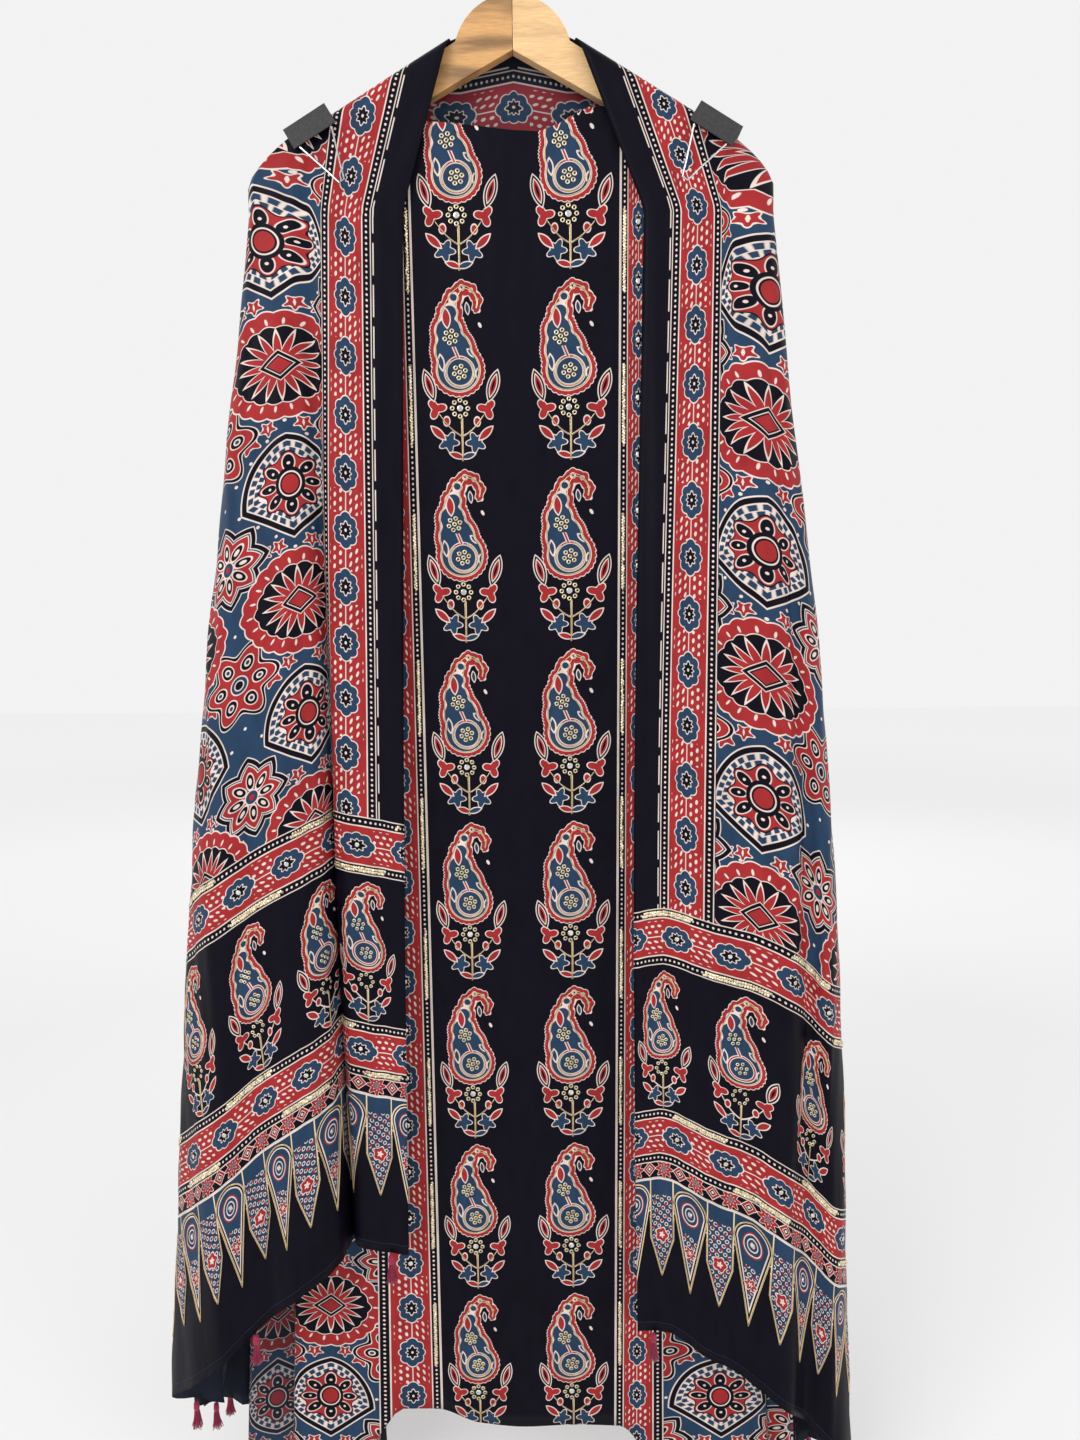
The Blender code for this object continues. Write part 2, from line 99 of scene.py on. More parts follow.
RIGHT_LINES = (
    (0.00, 1.240, 0.000, 110, -19, 103, -38, 110, -45, -1267),
    (0.35, 1.240, 0.035, 138, -21, 130, -42, 137, -52, -1262),
    (0.78, 1.240, 0.078, 172, -22, 169, -46, 172, -58, -1284),
    (1.00, 1.240, 0.120, 186, -23, 207, -50, 207, -62, -1302),
    (1.00, 1.240, 0.165, 198, -23, 240, -50, 246, -72, -1330),
    (1.00, 1.240, 0.205, 207, -21, 258, -33, 272, -48, -1362),
    (1.00, 1.240, 0.250, 215, -16, 273, -38, 300, -52, -1392),
    (1.00, 1.240, 0.310, 222, -6, 287, -12, 322, -22, -1420),
    (1.00, 1.240, 0.424, 222, 6, 262, 8, 300, 6, -1446),
    (1.00, 1.240, 0.536, 216, 14, 276, 32, 314, 32, -1462),
    (1.00, 1.240, 0.664, 209, 17, 244, 46, 276, 50, -1470),
    (1.00, 1.240, 0.800, 203, 19, 268, 66, 304, 70, -1474),
    (1.00, 0.950, 0.800, 196, 20, 228, 80, 254, 106, -1300),
    (1.00, 0.680, 0.800, 189, 21, 238, 98, 274, 120, -1126),
    (1.00, 0.460, 0.800, 182, 21, 198, 88, 222, 100, -1020),
    (1.00, 0.290, 0.800, 174, 20, 190, 104, 210, 120, -975),
    (1.00, 0.142, 0.800, 165, 20, 155, 84, 160, 96, -962),
    (0.78, 0.122, 0.800, 144, 21, 142, 64, 142, 78, -972),
    (0.35, 0.083, 0.800, 99, 20, 90, 42, 90, 50, -982),
    (0.00, 0.051, 0.800, 60, 18, 52, 50, 52, 60, -988),
)
NECK_LINES = ((-46, 0.046), (-24, 0.024), (0, 0.0), (24, -0.024), (46, -0.046))
CLIP_FLAT = {-1: (0.147, 0.10), 1: (0.142, 0.10)}
END_AT = {-1: 1.150, 1: 1.240}

# w, then (x, y) at the top and (x, y) at the hem, and the hem's height, all in mm.
FRONT_FOLDS = (
    (-426, -200, -10.8, -145, 15, -1446),
    (-352, -182, -12.0, -229, 11, -1445),
    (-346, -180, -12.6, -226, 6, -1444),
    (-288, -165, -13.2, -150, 4, -1443),
    (-282, -163, -13.8, -152, -1, -1442),
    (-222, -148, -15.2, -238, -6, -1441),
    (-216, -146, -16.0, -236, -12, -1440),
    (-178, -132, -14.0, -190, -9, -1436),
    (-146, -120, -13.0, -153, -11, -1412),
    (-125, -110, -12.0, -124, -12, -1376),
    (-95, -94, -12.0, -90, -11, -1377),
    (-48, -48, -11.0, -46, -10, -1394),
    (0, 0, -11.0, 0, -11, -1398),
    (48, 48, -11.0, 48, -10, -1397),
    (95, 95, -12.0, 95, -11, -1398),
    (128, 110, -12.5, 122, -13, -1424),
    (158, 123, -13.5, 160, -10, -1440),
    (190, 135, -14.5, 205, -15, -1450),
    (224, 147, -16.0, 246, -12, -1456),
    (230, 149, -15.2, 248, -6, -1457),
    (274, 160, -14.2, 192, -4, -1460),
    (280, 162, -13.6, 190, 1, -1461),
    (354, 180, -12.6, 277, 1, -1464),
    (360, 182, -12.0, 279, 6, -1465),
    (426, 198, -10.8, 208, 13, -1466),
)
BACK_FOLDS = (
    (-426, -200, -8.8, -290, 34, -1462),
    (-378, -188, -8.8, -268, 29, -1460),
    (-330, -176, -8.8, -292, 20, -1458),
    (-274, -160, -8.8, -238, 20, -1450),
    (-218, -145, -8.8, -200, 26, -1440),
    (-170, -130, -8.8, -160, 20, -1420),
    (-95, -94, -8.8, -90, 12, -1375),
    (0, 0, -8.8, 0, 9, -1388),
    (95, 95, -8.8, 95, 12, -1390),
    (170, 130, -8.8, 162, 20, -1430),
    (218, 145, -8.8, 204, 27, -1450),
    (274, 160, -8.8, 240, 22, -1462),
    (330, 176, -8.8, 280, 20, -1470),
    (378, 188, -8.8, 256, 27, -1472),
    (426, 200, -8.8, 276, 31, -1474),
)
TOP_FOLD = ((-0.215, -0.210), (-0.170, -0.184), (-0.150, -0.173), (-0.100, -0.167), (-0.062, -0.1665),
            (-0.030, -0.170), (0.0, -0.1735), (0.022, -0.1745), (0.040, -0.168), (0.062, -0.156),
            (0.100, -0.154), (0.150, -0.173), (0.170, -0.184), (0.215, -0.210))

# The bands of the shawl's ends, by their distance up from the hem in mm.
CREAM_LINE, SECOND_RED, FIRST_RED, BANDS_END = 155, 198, 390, 416
END_FROM, MAIN_FROM = 0.212, 0.388     # where the finish changes, inside the red borders, in metres
RED_HALF = 17                 # half the width of a red border
RIM = 1.2                     # its cream rim
DOTTED = 3.6                  # half the width of a dotted strip
ROSETTE_PITCH, ROSETTE_UP = 48.5, 16.0
EDGE_RED = 57                 # middle of the long red border, from the shawl's edge
EDGE_END = 84                 # where the field starts
SHAWL_MIDDLE = 400            # middle of the shawl's width
FIELD_X, FIELD_Y = 117, 472   # its first medallion, from the edge and from the shoulder line
SIDE_SHIFT, SIDE_STRETCH = 23, 0.04    # how the left and right halves of the print differ
FIELD_PITCH, COLUMN_PITCH = 200, 110
MOTIF_PITCH, MOTIF_SIDE, FIRST_STEM = 160, 48, 120     # the dress length's two columns of plants
SIDE_RED, OUTER_RED = 116, 378         # middles of its red borders
BAND_MOTIF, BAND_SCALE, BAND_START, BAND_FOOT = 75, 0.86, 34, 226     # the plants of the shawl's ends
ARCH_PITCH = 62
# Middles of a plant's two clusters of sequins and its mirror, from the foot of its stem.
SPIRAL, NECK, GLASS = (-1.2, 75.8), (-8.7, 105.2), (-1.7, 45.2)
GOLDEN_ANGLE = 2.39996


class AjrakhColours(bpy.types.PropertyGroup):
    """Dyes of the cloth and colours of its trims."""
    black: FloatVectorProperty(name="Black", description="Iron black ground", subtype="COLOR",
                               default=(0.0042, 0.0032, 0.0078), min=0, max=1)
    blue: FloatVectorProperty(name="Indigo", description="Indigo blue", subtype="COLOR",
                              default=(0.020, 0.046, 0.094), min=0, max=1)
    red: FloatVectorProperty(name="Madder", description="Madder red", subtype="COLOR",
                             default=(0.330, 0.024, 0.027), min=0, max=1)
    cream: FloatVectorProperty(name="Cream", description="Undyed lines", subtype="COLOR",
                               default=(0.71, 0.60, 0.54), min=0, max=1)
    gold: FloatVectorProperty(name="Gold", description="Metal thread and sequins", subtype="COLOR",
                              default=(0.80, 0.62, 0.37), min=0, max=1)
    tassel: FloatVectorProperty(name="Tassel", description="Crimson tassel thread", subtype="COLOR",
                                default=(0.33, 0.003, 0.055), min=0, max=1)
    pale_wood: FloatVectorProperty(name="Pale wood", description="Right half of the hanger", subtype="COLOR",
                                   default=(0.78, 0.50, 0.24), min=0, max=1)
    brown_wood: FloatVectorProperty(name="Brown wood", description="Left half of the hanger", subtype="COLOR",
                                    default=(0.62, 0.33, 0.12), min=0, max=1)


class AjrakhSizes(bpy.types.PropertyGroup):
    """Sizes of the cloth and its stitched work."""
    cloth_thick: FloatProperty(name="Cloth thickness", description="Thickness of both cloths",
                               default=0.0006, min=0.0002, max=0.002, subtype="DISTANCE", unit="LENGTH")
    gold_cord: FloatProperty(name="Gold cord", description="Radius of the couched metal thread",
                             default=0.00055, min=0.0002, max=0.001, subtype="DISTANCE", unit="LENGTH")
    sequin: FloatProperty(name="Sequin", description="Radius of the ring sequins",
                          default=0.0025, min=0.001, max=0.004, subtype="DISTANCE", unit="LENGTH")
    tassel_strands: IntProperty(name="Tassel strands", description="Threads in each tassel",
                                default=44, min=12, max=90)
    line_steps: IntProperty(name="Fineness", description="Lines of mesh in each fold",
                            default=6, min=2, max=8)


# --- Print: numbers at each point of the cloth, drawn as shader nodes ---------------------------

class Mark:
    """A number at each point of a surface. Its signs and functions add Math nodes to the tree."""
    tree = None

    def __init__(self, socket):
        self.socket = socket

    def __add__(self, other):
        return step("ADD", self, other)

    __radd__ = __add__

    def __sub__(self, other):
        return step("SUBTRACT", self, other)

    def __rsub__(self, other):
        return step("SUBTRACT", other, self)

    def __mul__(self, other):
        return step("MULTIPLY", self, other)

    __rmul__ = __mul__

    def __neg__(self):
        return step("MULTIPLY", self, -1.0)

    def __abs__(self):
        return step("ABSOLUTE", self)


def plug(value, slot):
    """Links a mark to a slot, or writes a number on it."""
    if isinstance(value, Mark):
        Mark.tree.links.new(value.socket, slot)
    else:
        slot.default_value = value


def step(kind, *values, clamp=False):
    """One Math node on numbers or marks."""
    node = Mark.tree.nodes.new("ShaderNodeMath")
    node.operation, node.use_clamp = kind, clamp
    for slot, value in zip(node.inputs, values):
        plug(value, slot)
    return Mark(node.outputs[0])


def point(x, y):
    """The vector (x, y, 0)."""
    node = Mark.tree.nodes.new("ShaderNodeCombineXYZ")
    plug(x, node.inputs[0])
    plug(y, node.inputs[1])
    return node.outputs[0]


def size(x, y):
    """Length of (x, y)."""
    node = Mark.tree.nodes.new("ShaderNodeVectorMath")
    node.operation = "LENGTH"
    Mark.tree.links.new(point(x, y), node.inputs[0])
    return Mark(node.outputs["Value"])


def away(place, x, y):
    """Distance from a fixed place."""
    node = Mark.tree.nodes.new("ShaderNodeVectorMath")
    node.operation = "DISTANCE"
    Mark.tree.links.new(place, node.inputs[0])
    node.inputs[1].default_value = (x, y, 0)
    return Mark(node.outputs["Value"])


def angle(x, y):
    """Direction of (x, y), in radians."""
    return step("ARCTAN2", y, x)


def every(value, pitch, start=0.0):
    """The value measured from the nearest repeat."""
    if start:
        value = value - start
    return step("WRAP", value, pitch / 2, -pitch / 2)


def inside(distance, edge=0.0, soft=0.30):
    """1 where distance is under edge, 0 beyond it, with an edge soft millimetres wide."""
    return step("MULTIPLY_ADD", distance, -1 / soft, edge / soft + 0.5, clamp=True)


def strip(value, middle, half, soft=0.30):
    """1 where value is within half of middle, 0 further off."""
    return inside(abs(value - middle), half, soft)


def wave(value, count):
    """cos(count x value)."""
    return step("COSINE", value * count)


def sector(turned, r, count):
    """Length of arc from the middle of the nearest of count equal sectors."""
    return step("WRAP", turned, math.pi / count, -math.pi / count) * r


def petal(turned, count):
    """0 on the middle of each of count petals, 1 between them."""
    return abs(sector(turned, count / math.pi, count))


def least(a, b):
    """The smaller of two."""
    return step("MINIMUM", a, b)


def most(a, b):
    """The larger of two."""
    return step("MAXIMUM", a, b)


class Print:
    """The running colour of a print, from its ground up."""

    def __init__(self, ground, dyes):
        self.colour, self.dyes = dyes[ground], dyes

    def dye(self, mask, name):
        """Lays one colour where a mask is 1."""
        node = Mark.tree.nodes.new("ShaderNodeMix")
        node.data_type = "RGBA"
        Mark.tree.links.new(mask.socket, node.inputs[0])
        for slot, colour in ((node.inputs[6], self.colour), (node.inputs[7], self.dyes[name])):
            if isinstance(colour, tuple):
                slot.default_value = (*colour, 1)
            else:
                Mark.tree.links.new(colour, slot)
        self.colour = node.outputs[2]

    def rings(self, distance, *stops, within=None):
        """Lays colours one inside the other: a distance, then the colour of all that is nearer."""
        for edge, name in zip(stops[::2], stops[1::2]):
            mask = inside(distance, edge)
            self.dye(mask if within is None else mask * within, name)


def red_border(p, along, across):
    """A red strip with a centre line, seeds each side of it and blue rosettes."""
    off = abs(across)
    held = inside(off, RED_HALF + RIM)
    p.rings(off, RED_HALF + RIM, "cream", RED_HALF, "red", 0.45, "cream", within=held)
    u = every(along, ROSETTE_PITCH)
    seed_u = every(along + across * 0.8, 7.6)
    seed_v = every(off, 5.4, 4.6)
    seed = size(seed_u * 0.50 - seed_v * 0.42, seed_v * 0.75 + seed_u * 0.12)
    seeds = inside(seed, 1.05) * strip(off, 8.2, 6.6) * inside(14.0 - abs(u), 0.0)
    p.dye(seeds * held, "cream")
    turned = angle(u, across)
    r = size(u * 0.72, across)
    p.rings(r + abs(wave(turned, 4.0)) * -1.7, 10.2, "cream", 9.4, "blue", within=held)
    p.rings(r + wave(turned, 8.0) * -0.8, 5.2, "cream", 4.3, "black", within=held)
    p.rings(r, 1.0, "cream", within=held)


def dotted_strip(p, along, across):
    """A black strip with cream lines at its edges and a row of cream dots."""
    held = inside(abs(across), DOTTED + 1.0)
    p.rings(abs(across), DOTTED + 1.0, "cream", DOTTED, "black", within=held)
    p.rings(size(every(along, 4.6), across), 1.05, "cream", within=held)


def trimmed_border(p, along, dots_along, across):
    """A red border with a dotted strip down each side."""
    red_border(p, along, across)
    for way in (-1, 1):
        dotted_strip(p, dots_along, across - way * (RED_HALF + RIM + DOTTED))


def shield(p, x, y):
    """A leaf-shaped medallion: round top, two side points and a low point, round an eight-petalled flower."""
    ax = abs(x)
    upper = size(ax + 16.0, (y - 14.0) * 0.92) - 58.0
    lower = ax * 0.62 + (y - 14.0) * 0.72 - 26.0
    d = most(upper, lower)
    p.rings(d, 0.0, "cream", -1.2, "black", -5.4, "cream")
    turned = angle(x, y)
    for sign, row, half in ((1, 8.6, 2.1), (-1, 13.4, 2.0)):
        dashes = inside(wave(turned, 26.0) * sign, 0.45, 0.7) * inside(abs(d + row), half)
        p.dye(dashes, "blue")
    r = size(x, y * 0.86)
    p.rings(r * (1.0 + wave(turned, 8.0) * -0.11), 23.4, "black", 22.3, "red")
    pr = sector(turned, r, 8)
    p.rings(size(pr, (r - 17.0) * 0.62), 4.4, "cream", 3.7, "black")
    p.rings(size(pr, r - 16.2), 1.1, "cream")
    p.rings(size(x, y * 0.72), 11.0, "black", 8.4, "cream", 7.4, "black", 6.2, "red")


def sun(p, x, y):
    """A scalloped red medallion with two side points round a black field, cream flames and a red star."""
    turned = angle(x, y)
    r = size(x, y)
    d = size(x * 1.14, abs(y) + 12.0) - 54.0
    p.rings(d + abs(wave(turned, 11.0)) * -2.0, 1.6, "cream", 0.4, "red")
    p.rings(size(sector(turned, r, 22), (d + 6.0) * 0.34), 0.9, "cream")
    p.rings(d + 12.0 + abs(wave(turned, 9.0)) * -1.8, 0.8, "cream", 0.0, "black")
    rays = petal(turned, 16)
    p.rings(r + rays * 17.0, 30.5, "cream")
    p.rings(r + rays * 15.5, 26.8, "red")
    eye = abs(x) * 0.85 + abs(y) * 0.92
    p.rings(eye, 12.0, "cream", 11.2, "black", 8.4, "cream", 7.6, "black", 6.4, "red")


def star(p, x, y):
    """An eight-pointed star with a stepped black rim and eight red petals."""
    turned = angle(x, y)
    r = size(x, y)
    rim = r + petal(turned, 8) * 8.5
    p.rings(rim, 36.0, "cream", 35.0, "black", 31.0, "cream", 30.0, "blue", 28.6, "cream", 27.6, "red")
    leaf = size(sector(turned, r, 8), (r - 14.0) * 0.5)
    p.rings(leaf, 4.0, "cream", 3.2, "black", 1.5, "cream")
    p.rings(r, 6.5, "cream", 5.5, "blue", 2.5, "red")


def bloom(p, x, y):
    """A six-part flower with black outlines and teardrops in its petals."""
    turned = angle(x, y)
    r = size(x, y)
    p.rings(r + wave(turned, 6.0) * -5.5, 31.0, "cream", 30.0, "black", 27.2, "cream", 26.2, "red")
    leaf = size(sector(turned, r, 6), (r - 18.0) * 0.8)
    p.rings(leaf, 5.6, "cream", 4.8, "black", 2.6, "cream", 1.5, "blue")
    p.rings(r, 8.0, "cream", 7.0, "blue", 4.5, "cream", 3.5, "black")


def sprig(p, x, y, reach):
    """A red maple-like leaf with a cream rim."""
    turned = angle(x, y)
    leaf = size(x, y) + wave(turned, 5.0) * (-0.30 * reach) + wave(turned, 10.0) * (-0.08 * reach)
    p.rings(leaf, reach + 1.0, "cream", reach - 0.1, "red")
    p.rings(abs(y) + abs(x) * 0.2, 0.8, "cream", within=inside(abs(x), reach * 0.6))


def field(p, x, y):
    """The field's lattice: shields and suns down one column, stars and blooms down the next."""
    ax = every(x, COLUMN_PITCH)
    shield_y = every(y, FIELD_PITCH)
    sun_y = every(y, FIELD_PITCH, FIELD_PITCH / 2)
    off_x = every(x, COLUMN_PITCH, COLUMN_PITCH / 2)
    star_y = every(y, FIELD_PITCH, FIELD_PITCH / 4)
    bloom_y = every(y, FIELD_PITCH, -FIELD_PITCH / 4)
    small = size(every(x + y, 27.0), every(x - y, 27.0))
    p.rings(abs(small - 1.0), 0.9, "cream")
    side = abs(ax)
    sprig(p, side - 27.0, every(y, FIELD_PITCH, -44.0), 7.0)
    sprig(p, side - 25.0, every(y, FIELD_PITCH, 51.0), 5.0)
    sprig(p, every(y, FIELD_PITCH / 2, FIELD_PITCH / 4), side - 12.0, 4.5)
    star(p, off_x, star_y)
    bloom(p, off_x, bloom_y)
    shield(p, ax * 1.07, shield_y * 1.07)
    sun(p, ax, sun_y)


# Circles whose smooth union is the body and curled tip of a paisley: x, y and radius in mm,
# from the foot of its stem.
BODY = ((-2.3, 78.1, 22.0), (-6.6, 94.5, 19.0), (-10.4, 110.5, 14.6), (-9.4, 125.5, 10.2),
        (-5.6, 138.0, 7.2), (1.6, 146.2, 5.2), (9.6, 144.4, 4.5), (14.8, 136.8, 3.8), (14.2, 129.0, 2.4))


def leaf_shape(x, y, middle, lean, length, width):
    """Distance outside a pointed leaf: two equal arcs meeting at its ends."""
    c, s = math.cos(lean), math.sin(lean)
    dx, dy = x - middle[0], y - middle[1]
    across, along = dx * c + dy * s, dy * c - dx * s
    back = (length**2 - width**2) / (2 * width)
    return size(abs(across) + back, along) - (back + width)


def plant(p, x, y):
    """The paisley on its stem, with leaves, tulips, buds and a flower of beads. x right, y up, mm."""
    place = point(x, y)
    body = None
    for cx, cy, radius in BODY:
        d = away(place, cx, cy) - radius
        body = d if body is None else step("SMOOTH_MIN", body, d, 5.0)
    side = abs(x)
    # stem, branches and the small leaves at its foot
    p.dye(inside(side, 0.8) * strip(y, 18.5, 18.5), "gold")
    branch = abs(y - 21.5 - side * side * 0.030 - side * 0.38)
    p.rings(branch, 0.8, "cream", within=inside(side, 21.0))
    base = leaf_shape(side, y, (5.2, 4.8), -1.25, 6.8, 2.4)
    p.rings(base, 0.6, "cream")
    p.rings(base, -0.3, "red", within=inside(x, 0.0))
    p.rings(base, -0.3, "blue", within=inside(-x, 0.0))
    ivy_x, ivy_y = side - 12.0, y - 16.5
    ivy = size(ivy_x, ivy_y) + wave(angle(ivy_x, ivy_y) + 0.5, 5.0) * -1.9
    p.rings(ivy, 7.8, "cream", 6.8, "blue")
    p.rings(leaf_shape(side, y, (21.0, 24.5), -0.80, 8.5, 2.9), 0.7, "cream", -0.3, "red")
    p.rings(size(side - 13.5, (y - 34.3) * 0.7), 3.2, "cream", 2.3, "red")
    tulip_x, tulip_y = side - 22.4, y - 45.2
    tulip = size(tulip_x, tulip_y) + wave(angle(tulip_x, tulip_y) - 0.9, 3.0) * -2.6
    p.rings(tulip, 7.0, "cream", 6.0, "red")
    tall = leaf_shape(side, y, (28.0, 65.0), -0.30, 14.5, 5.2)
    p.rings(tall, 0.3, "cream", -0.6, "black", -2.0, "cream", -2.8, "red", -4.2, "black")
    # body
    turned = angle(x + 5.0, y - 100.0)
    p.rings(body + abs(wave(turned, 26.0)) * -1.0, 0.9, "cream", 0.2, "red")
    p.rings(body, -2.4, "cream", -4.3, "blue")
    p.rings(leaf_shape(x, y, (-12.1, 121.0), 0.10, 8.0, 3.0), 0.9, "cream", -0.1, "red")
    spiral = size(x - SPIRAL[0], y - SPIRAL[1])
    p.rings(spiral, 13.9, "cream", 13.0, "red", 11.7, "cream", 10.9, "blue", within=inside(body, -5.0))
    link = abs(x - (y - 92.0) * -0.42 + 4.2)
    p.rings(link, 1.8, "cream", 0.8, "red", within=strip(y, 92.5, 4.5))
    for middle, lean, length, width in (((-17.0, 84.0), 0.15, 7.0, 2.4), ((9.6, 92.0), 0.9, 5.2, 2.2),
                                        ((15.0, 74.0), 0.1, 5.2, 2.2)):
        small = leaf_shape(x, y, middle, lean, length, width)
        p.rings(abs(small), 0.6, "cream", within=inside(body, -4.9))
    p.rings(leaf_shape(x, y, (6.2, 129.0), 0.12, 4.8, 1.7), 0.6, "cream", -0.2, "blue")
    p.rings(size((x - 17.0) * 1.5 + (y - 115.6) * 0.5, y - 115.6), 2.2, "cream")


def filigree(p, x, y, region):
    """Small cream scrolls and red dots that fill a stitched leaf."""
    cell = size(every(x + y * 0.6, 6.4), every(y - x * 0.5, 7.0))
    p.rings(abs(cell - 1.9), 0.45, "cream", within=region)
    dot = size(every(x * 0.8 + y, 12.8, 3.2), every(y - x, 9.4, 2.0))
    p.rings(dot, 1.7, "red", within=region)


def spears(p, x, e):
    """Round-topped arches tapering to points, with pointed leaves between them, hanging from a cream line."""
    t = CREAM_LINE - e
    below = 1.0 - inside(t, 0.0)
    gap = every(x, ARCH_PITCH, ARCH_PITCH / 2)
    p.rings(t + abs(gap) * -0.55, 24.0, "cream", 23.0, "blue", within=below)
    sprig(p, gap, t - 13.0, 5.0)
    leaf = abs(gap) + most(t - 58.0, 0.0) * 0.34 - 13.5
    p.rings(leaf, 0.0, "gold", -1.2, "blue", within=below)
    filigree(p, gap, t, inside(leaf, -2.2) * inside(16.0 - t, 0.0))
    r = size(gap, t - 56.0) + wave(angle(gap, t - 56.0), 5.0) * -0.8
    p.rings(r, 7.2, "cream", 6.4, "red", 2.6, "cream")
    ax = every(x, ARCH_PITCH)
    arch = size(ax, least(t - 21.0, 0.0)) + most(t - 21.0, 0.0) * 0.22 - 18.0
    p.rings(arch, 0.0, "gold", -1.2, "black", -2.7, "cream", -3.9, "blue")
    filigree(p, ax, t - 40.0, inside(arch, -4.6) * inside(45.0 - t, 0.0))
    drop = size(ax, (t - 24.0) * 0.80)
    p.rings(drop, 9.6, "red", 8.5, "cream", 7.6, "blue", 5.2, "cream", 4.3, "blue", 2.2, "cream")
    flower = size(ax, t - 62.0) + wave(angle(ax, t - 62.0), 6.0) * -1.2
    p.rings(flower, 5.6, "cream", 4.8, "red", 1.6, "cream")
    p.dye(strip(e, CREAM_LINE, 0.8), "cream")


def geometric_band(p, x, e):
    """A black band of eight-petalled flowers and diamonds in turn."""
    v = e - 165.5
    p.rings(abs(v), 9.6, "cream", 8.8, "black")
    u = every(x, 34.0)
    flower = size(u, v) + wave(angle(u, v), 8.0) * -1.9
    p.rings(flower, 8.4, "cream", 7.6, "red", 3.0, "cream", 2.2, "blue")
    diamond = abs(every(x, 34.0, 17.0)) + abs(v)
    p.rings(diamond, 7.6, "cream", 6.7, "red", 4.0, "cream", 3.2, "black", 1.6, "cream")


def end_borders(p, x, e, middles):
    """Red borders across an end of the shawl."""
    for middle in middles:
        trimmed_border(p, x, x, e - middle)


def shawl_main(flat_x, flat_y, end_x, end_y, dyes):
    """The shawl above its end bands: the field and the long red borders."""
    p = Print("blue", dyes)
    edge = SHAWL_MIDDLE - abs(flat_x - SHAWL_MIDDLE)
    side = step("SIGN", flat_y)
    up = (abs(flat_y) - FIELD_Y - side * SIDE_SHIFT) * (1.0 + side * -SIDE_STRETCH)
    field(p, flat_x - FIELD_X, up)
    p.dye(inside(edge, EDGE_END), "black")
    p.dye(strip(edge, 28.6, 0.6) * inside(wave(flat_y, TURN / 34.0), 0.75, 0.1), "cream")
    along = flat_y + least(most(flat_y - 60.0, 0.0) * 0.15, 24.0)
    trimmed_border(p, along, flat_y, edge - EDGE_RED)
    p.rings(end_y, BANDS_END, "black")
    end_borders(p, end_x, end_y, (FIRST_RED,))
    return p


def shawl_upper(flat_x, flat_y, end_x, end_y, dyes):
    """The band of plants of the shawl's ends."""
    p = Print("black", dyes)
    x = every(end_x, BAND_MOTIF, BAND_START) * (1 / BAND_SCALE)
    plant(p, x, (end_y - BAND_FOOT) * (1 / BAND_SCALE))
    end_borders(p, end_x, end_y, (FIRST_RED, SECOND_RED))
    return p


def shawl_lower(flat_x, flat_y, end_x, end_y, dyes):
    """The shawl's ends from the lower red border to the hem."""
    p = Print("black", dyes)
    spears(p, end_x, end_y)
    geometric_band(p, end_x, end_y)
    end_borders(p, end_x, end_y, (SECOND_RED,))
    p.dye(strip(end_y, 9.0, 0.25) * inside(wave(end_x, TURN / 3.0), 0.2, 0.4), "blue")
    return p


def dress_centre(flat_x, flat_y, end_x, end_y, dyes):
    """The dress length's black middle, with two columns of plants."""
    p = Print("black", dyes)
    up = step("WRAP", FIRST_STEM - flat_y, MOTIF_PITCH, 0.0)
    plant(p, flat_x - step("SIGN", flat_x) * MOTIF_SIDE, up)
    side_print(p, flat_x, flat_y)
    return p


def side_print(p, flat_x, flat_y):
    """The two inner borders of the dress length, with the cream line inside them."""
    edge = abs(flat_x)
    p.dye(strip(edge, 89.0, 0.5), "cream")
    trimmed_border(p, flat_y + ROSETTE_UP, flat_y, edge - SIDE_RED)


def dress_sides(flat_x, flat_y, end_x, end_y, dyes):
    """The dress length's sides: the field between two red borders."""
    p = Print("blue", dyes)
    edge = abs(flat_x)
    field(p, edge - 185.0, flat_y)
    p.rings(edge, SIDE_RED + 24.0, "black")
    p.dye(strip(edge, 392.0, 40.0), "black")
    side_print(p, flat_x, flat_y)
    red_border(p, flat_y, edge - OUTER_RED)
    return p


def noise(tree, vector, scale=1.0, detail=2.0):
    """Noise over a surface, about 0.3 to 0.7."""
    node = tree.nodes.new("ShaderNodeTexNoise")
    tree.links.new(vector, node.inputs["Vector"])
    node.inputs["Scale"].default_value = scale
    node.inputs["Detail"].default_value = detail
    return node.outputs[0]


def scaled(tree, vector, scale, turn=(0, 0, 0)):
    """A place turned and stretched."""
    node = tree.nodes.new("ShaderNodeMapping")
    tree.links.new(vector, node.inputs["Vector"])
    node.inputs["Scale"].default_value = scale
    node.inputs["Rotation"].default_value = turn
    return node.outputs[0]


def toned(tree, colour, amount, low, high):
    """Colour made darker or lighter by a noise, from low to high times."""
    spread = tree.nodes.new("ShaderNodeMapRange")
    tree.links.new(amount, spread.inputs["Value"])
    for name, value in (("From Min", 0.3), ("From Max", 0.7), ("To Min", low), ("To Max", high)):
        spread.inputs[name].default_value = value
    node = tree.nodes.new("ShaderNodeVectorMath")
    node.operation = "SCALE"
    tree.links.new(colour, node.inputs[0])
    tree.links.new(spread.outputs[0], node.inputs["Scale"])
    return node.outputs[0]


def new_material(name, roughness, metallic=0.0, colour=(0.8, 0.8, 0.8), specular=0.5):
    """A material with its nodes and its shader."""
    made = bpy.data.materials.new(name)
    made.use_nodes = True
    shader = made.node_tree.nodes["Principled BSDF"]
    shader.inputs["Roughness"].default_value = roughness
    shader.inputs["Metallic"].default_value = metallic
    shader.inputs["Base Color"].default_value = (*colour, 1)
    shader.inputs["Specular IOR Level"].default_value = specular
    return made, made.node_tree, shader


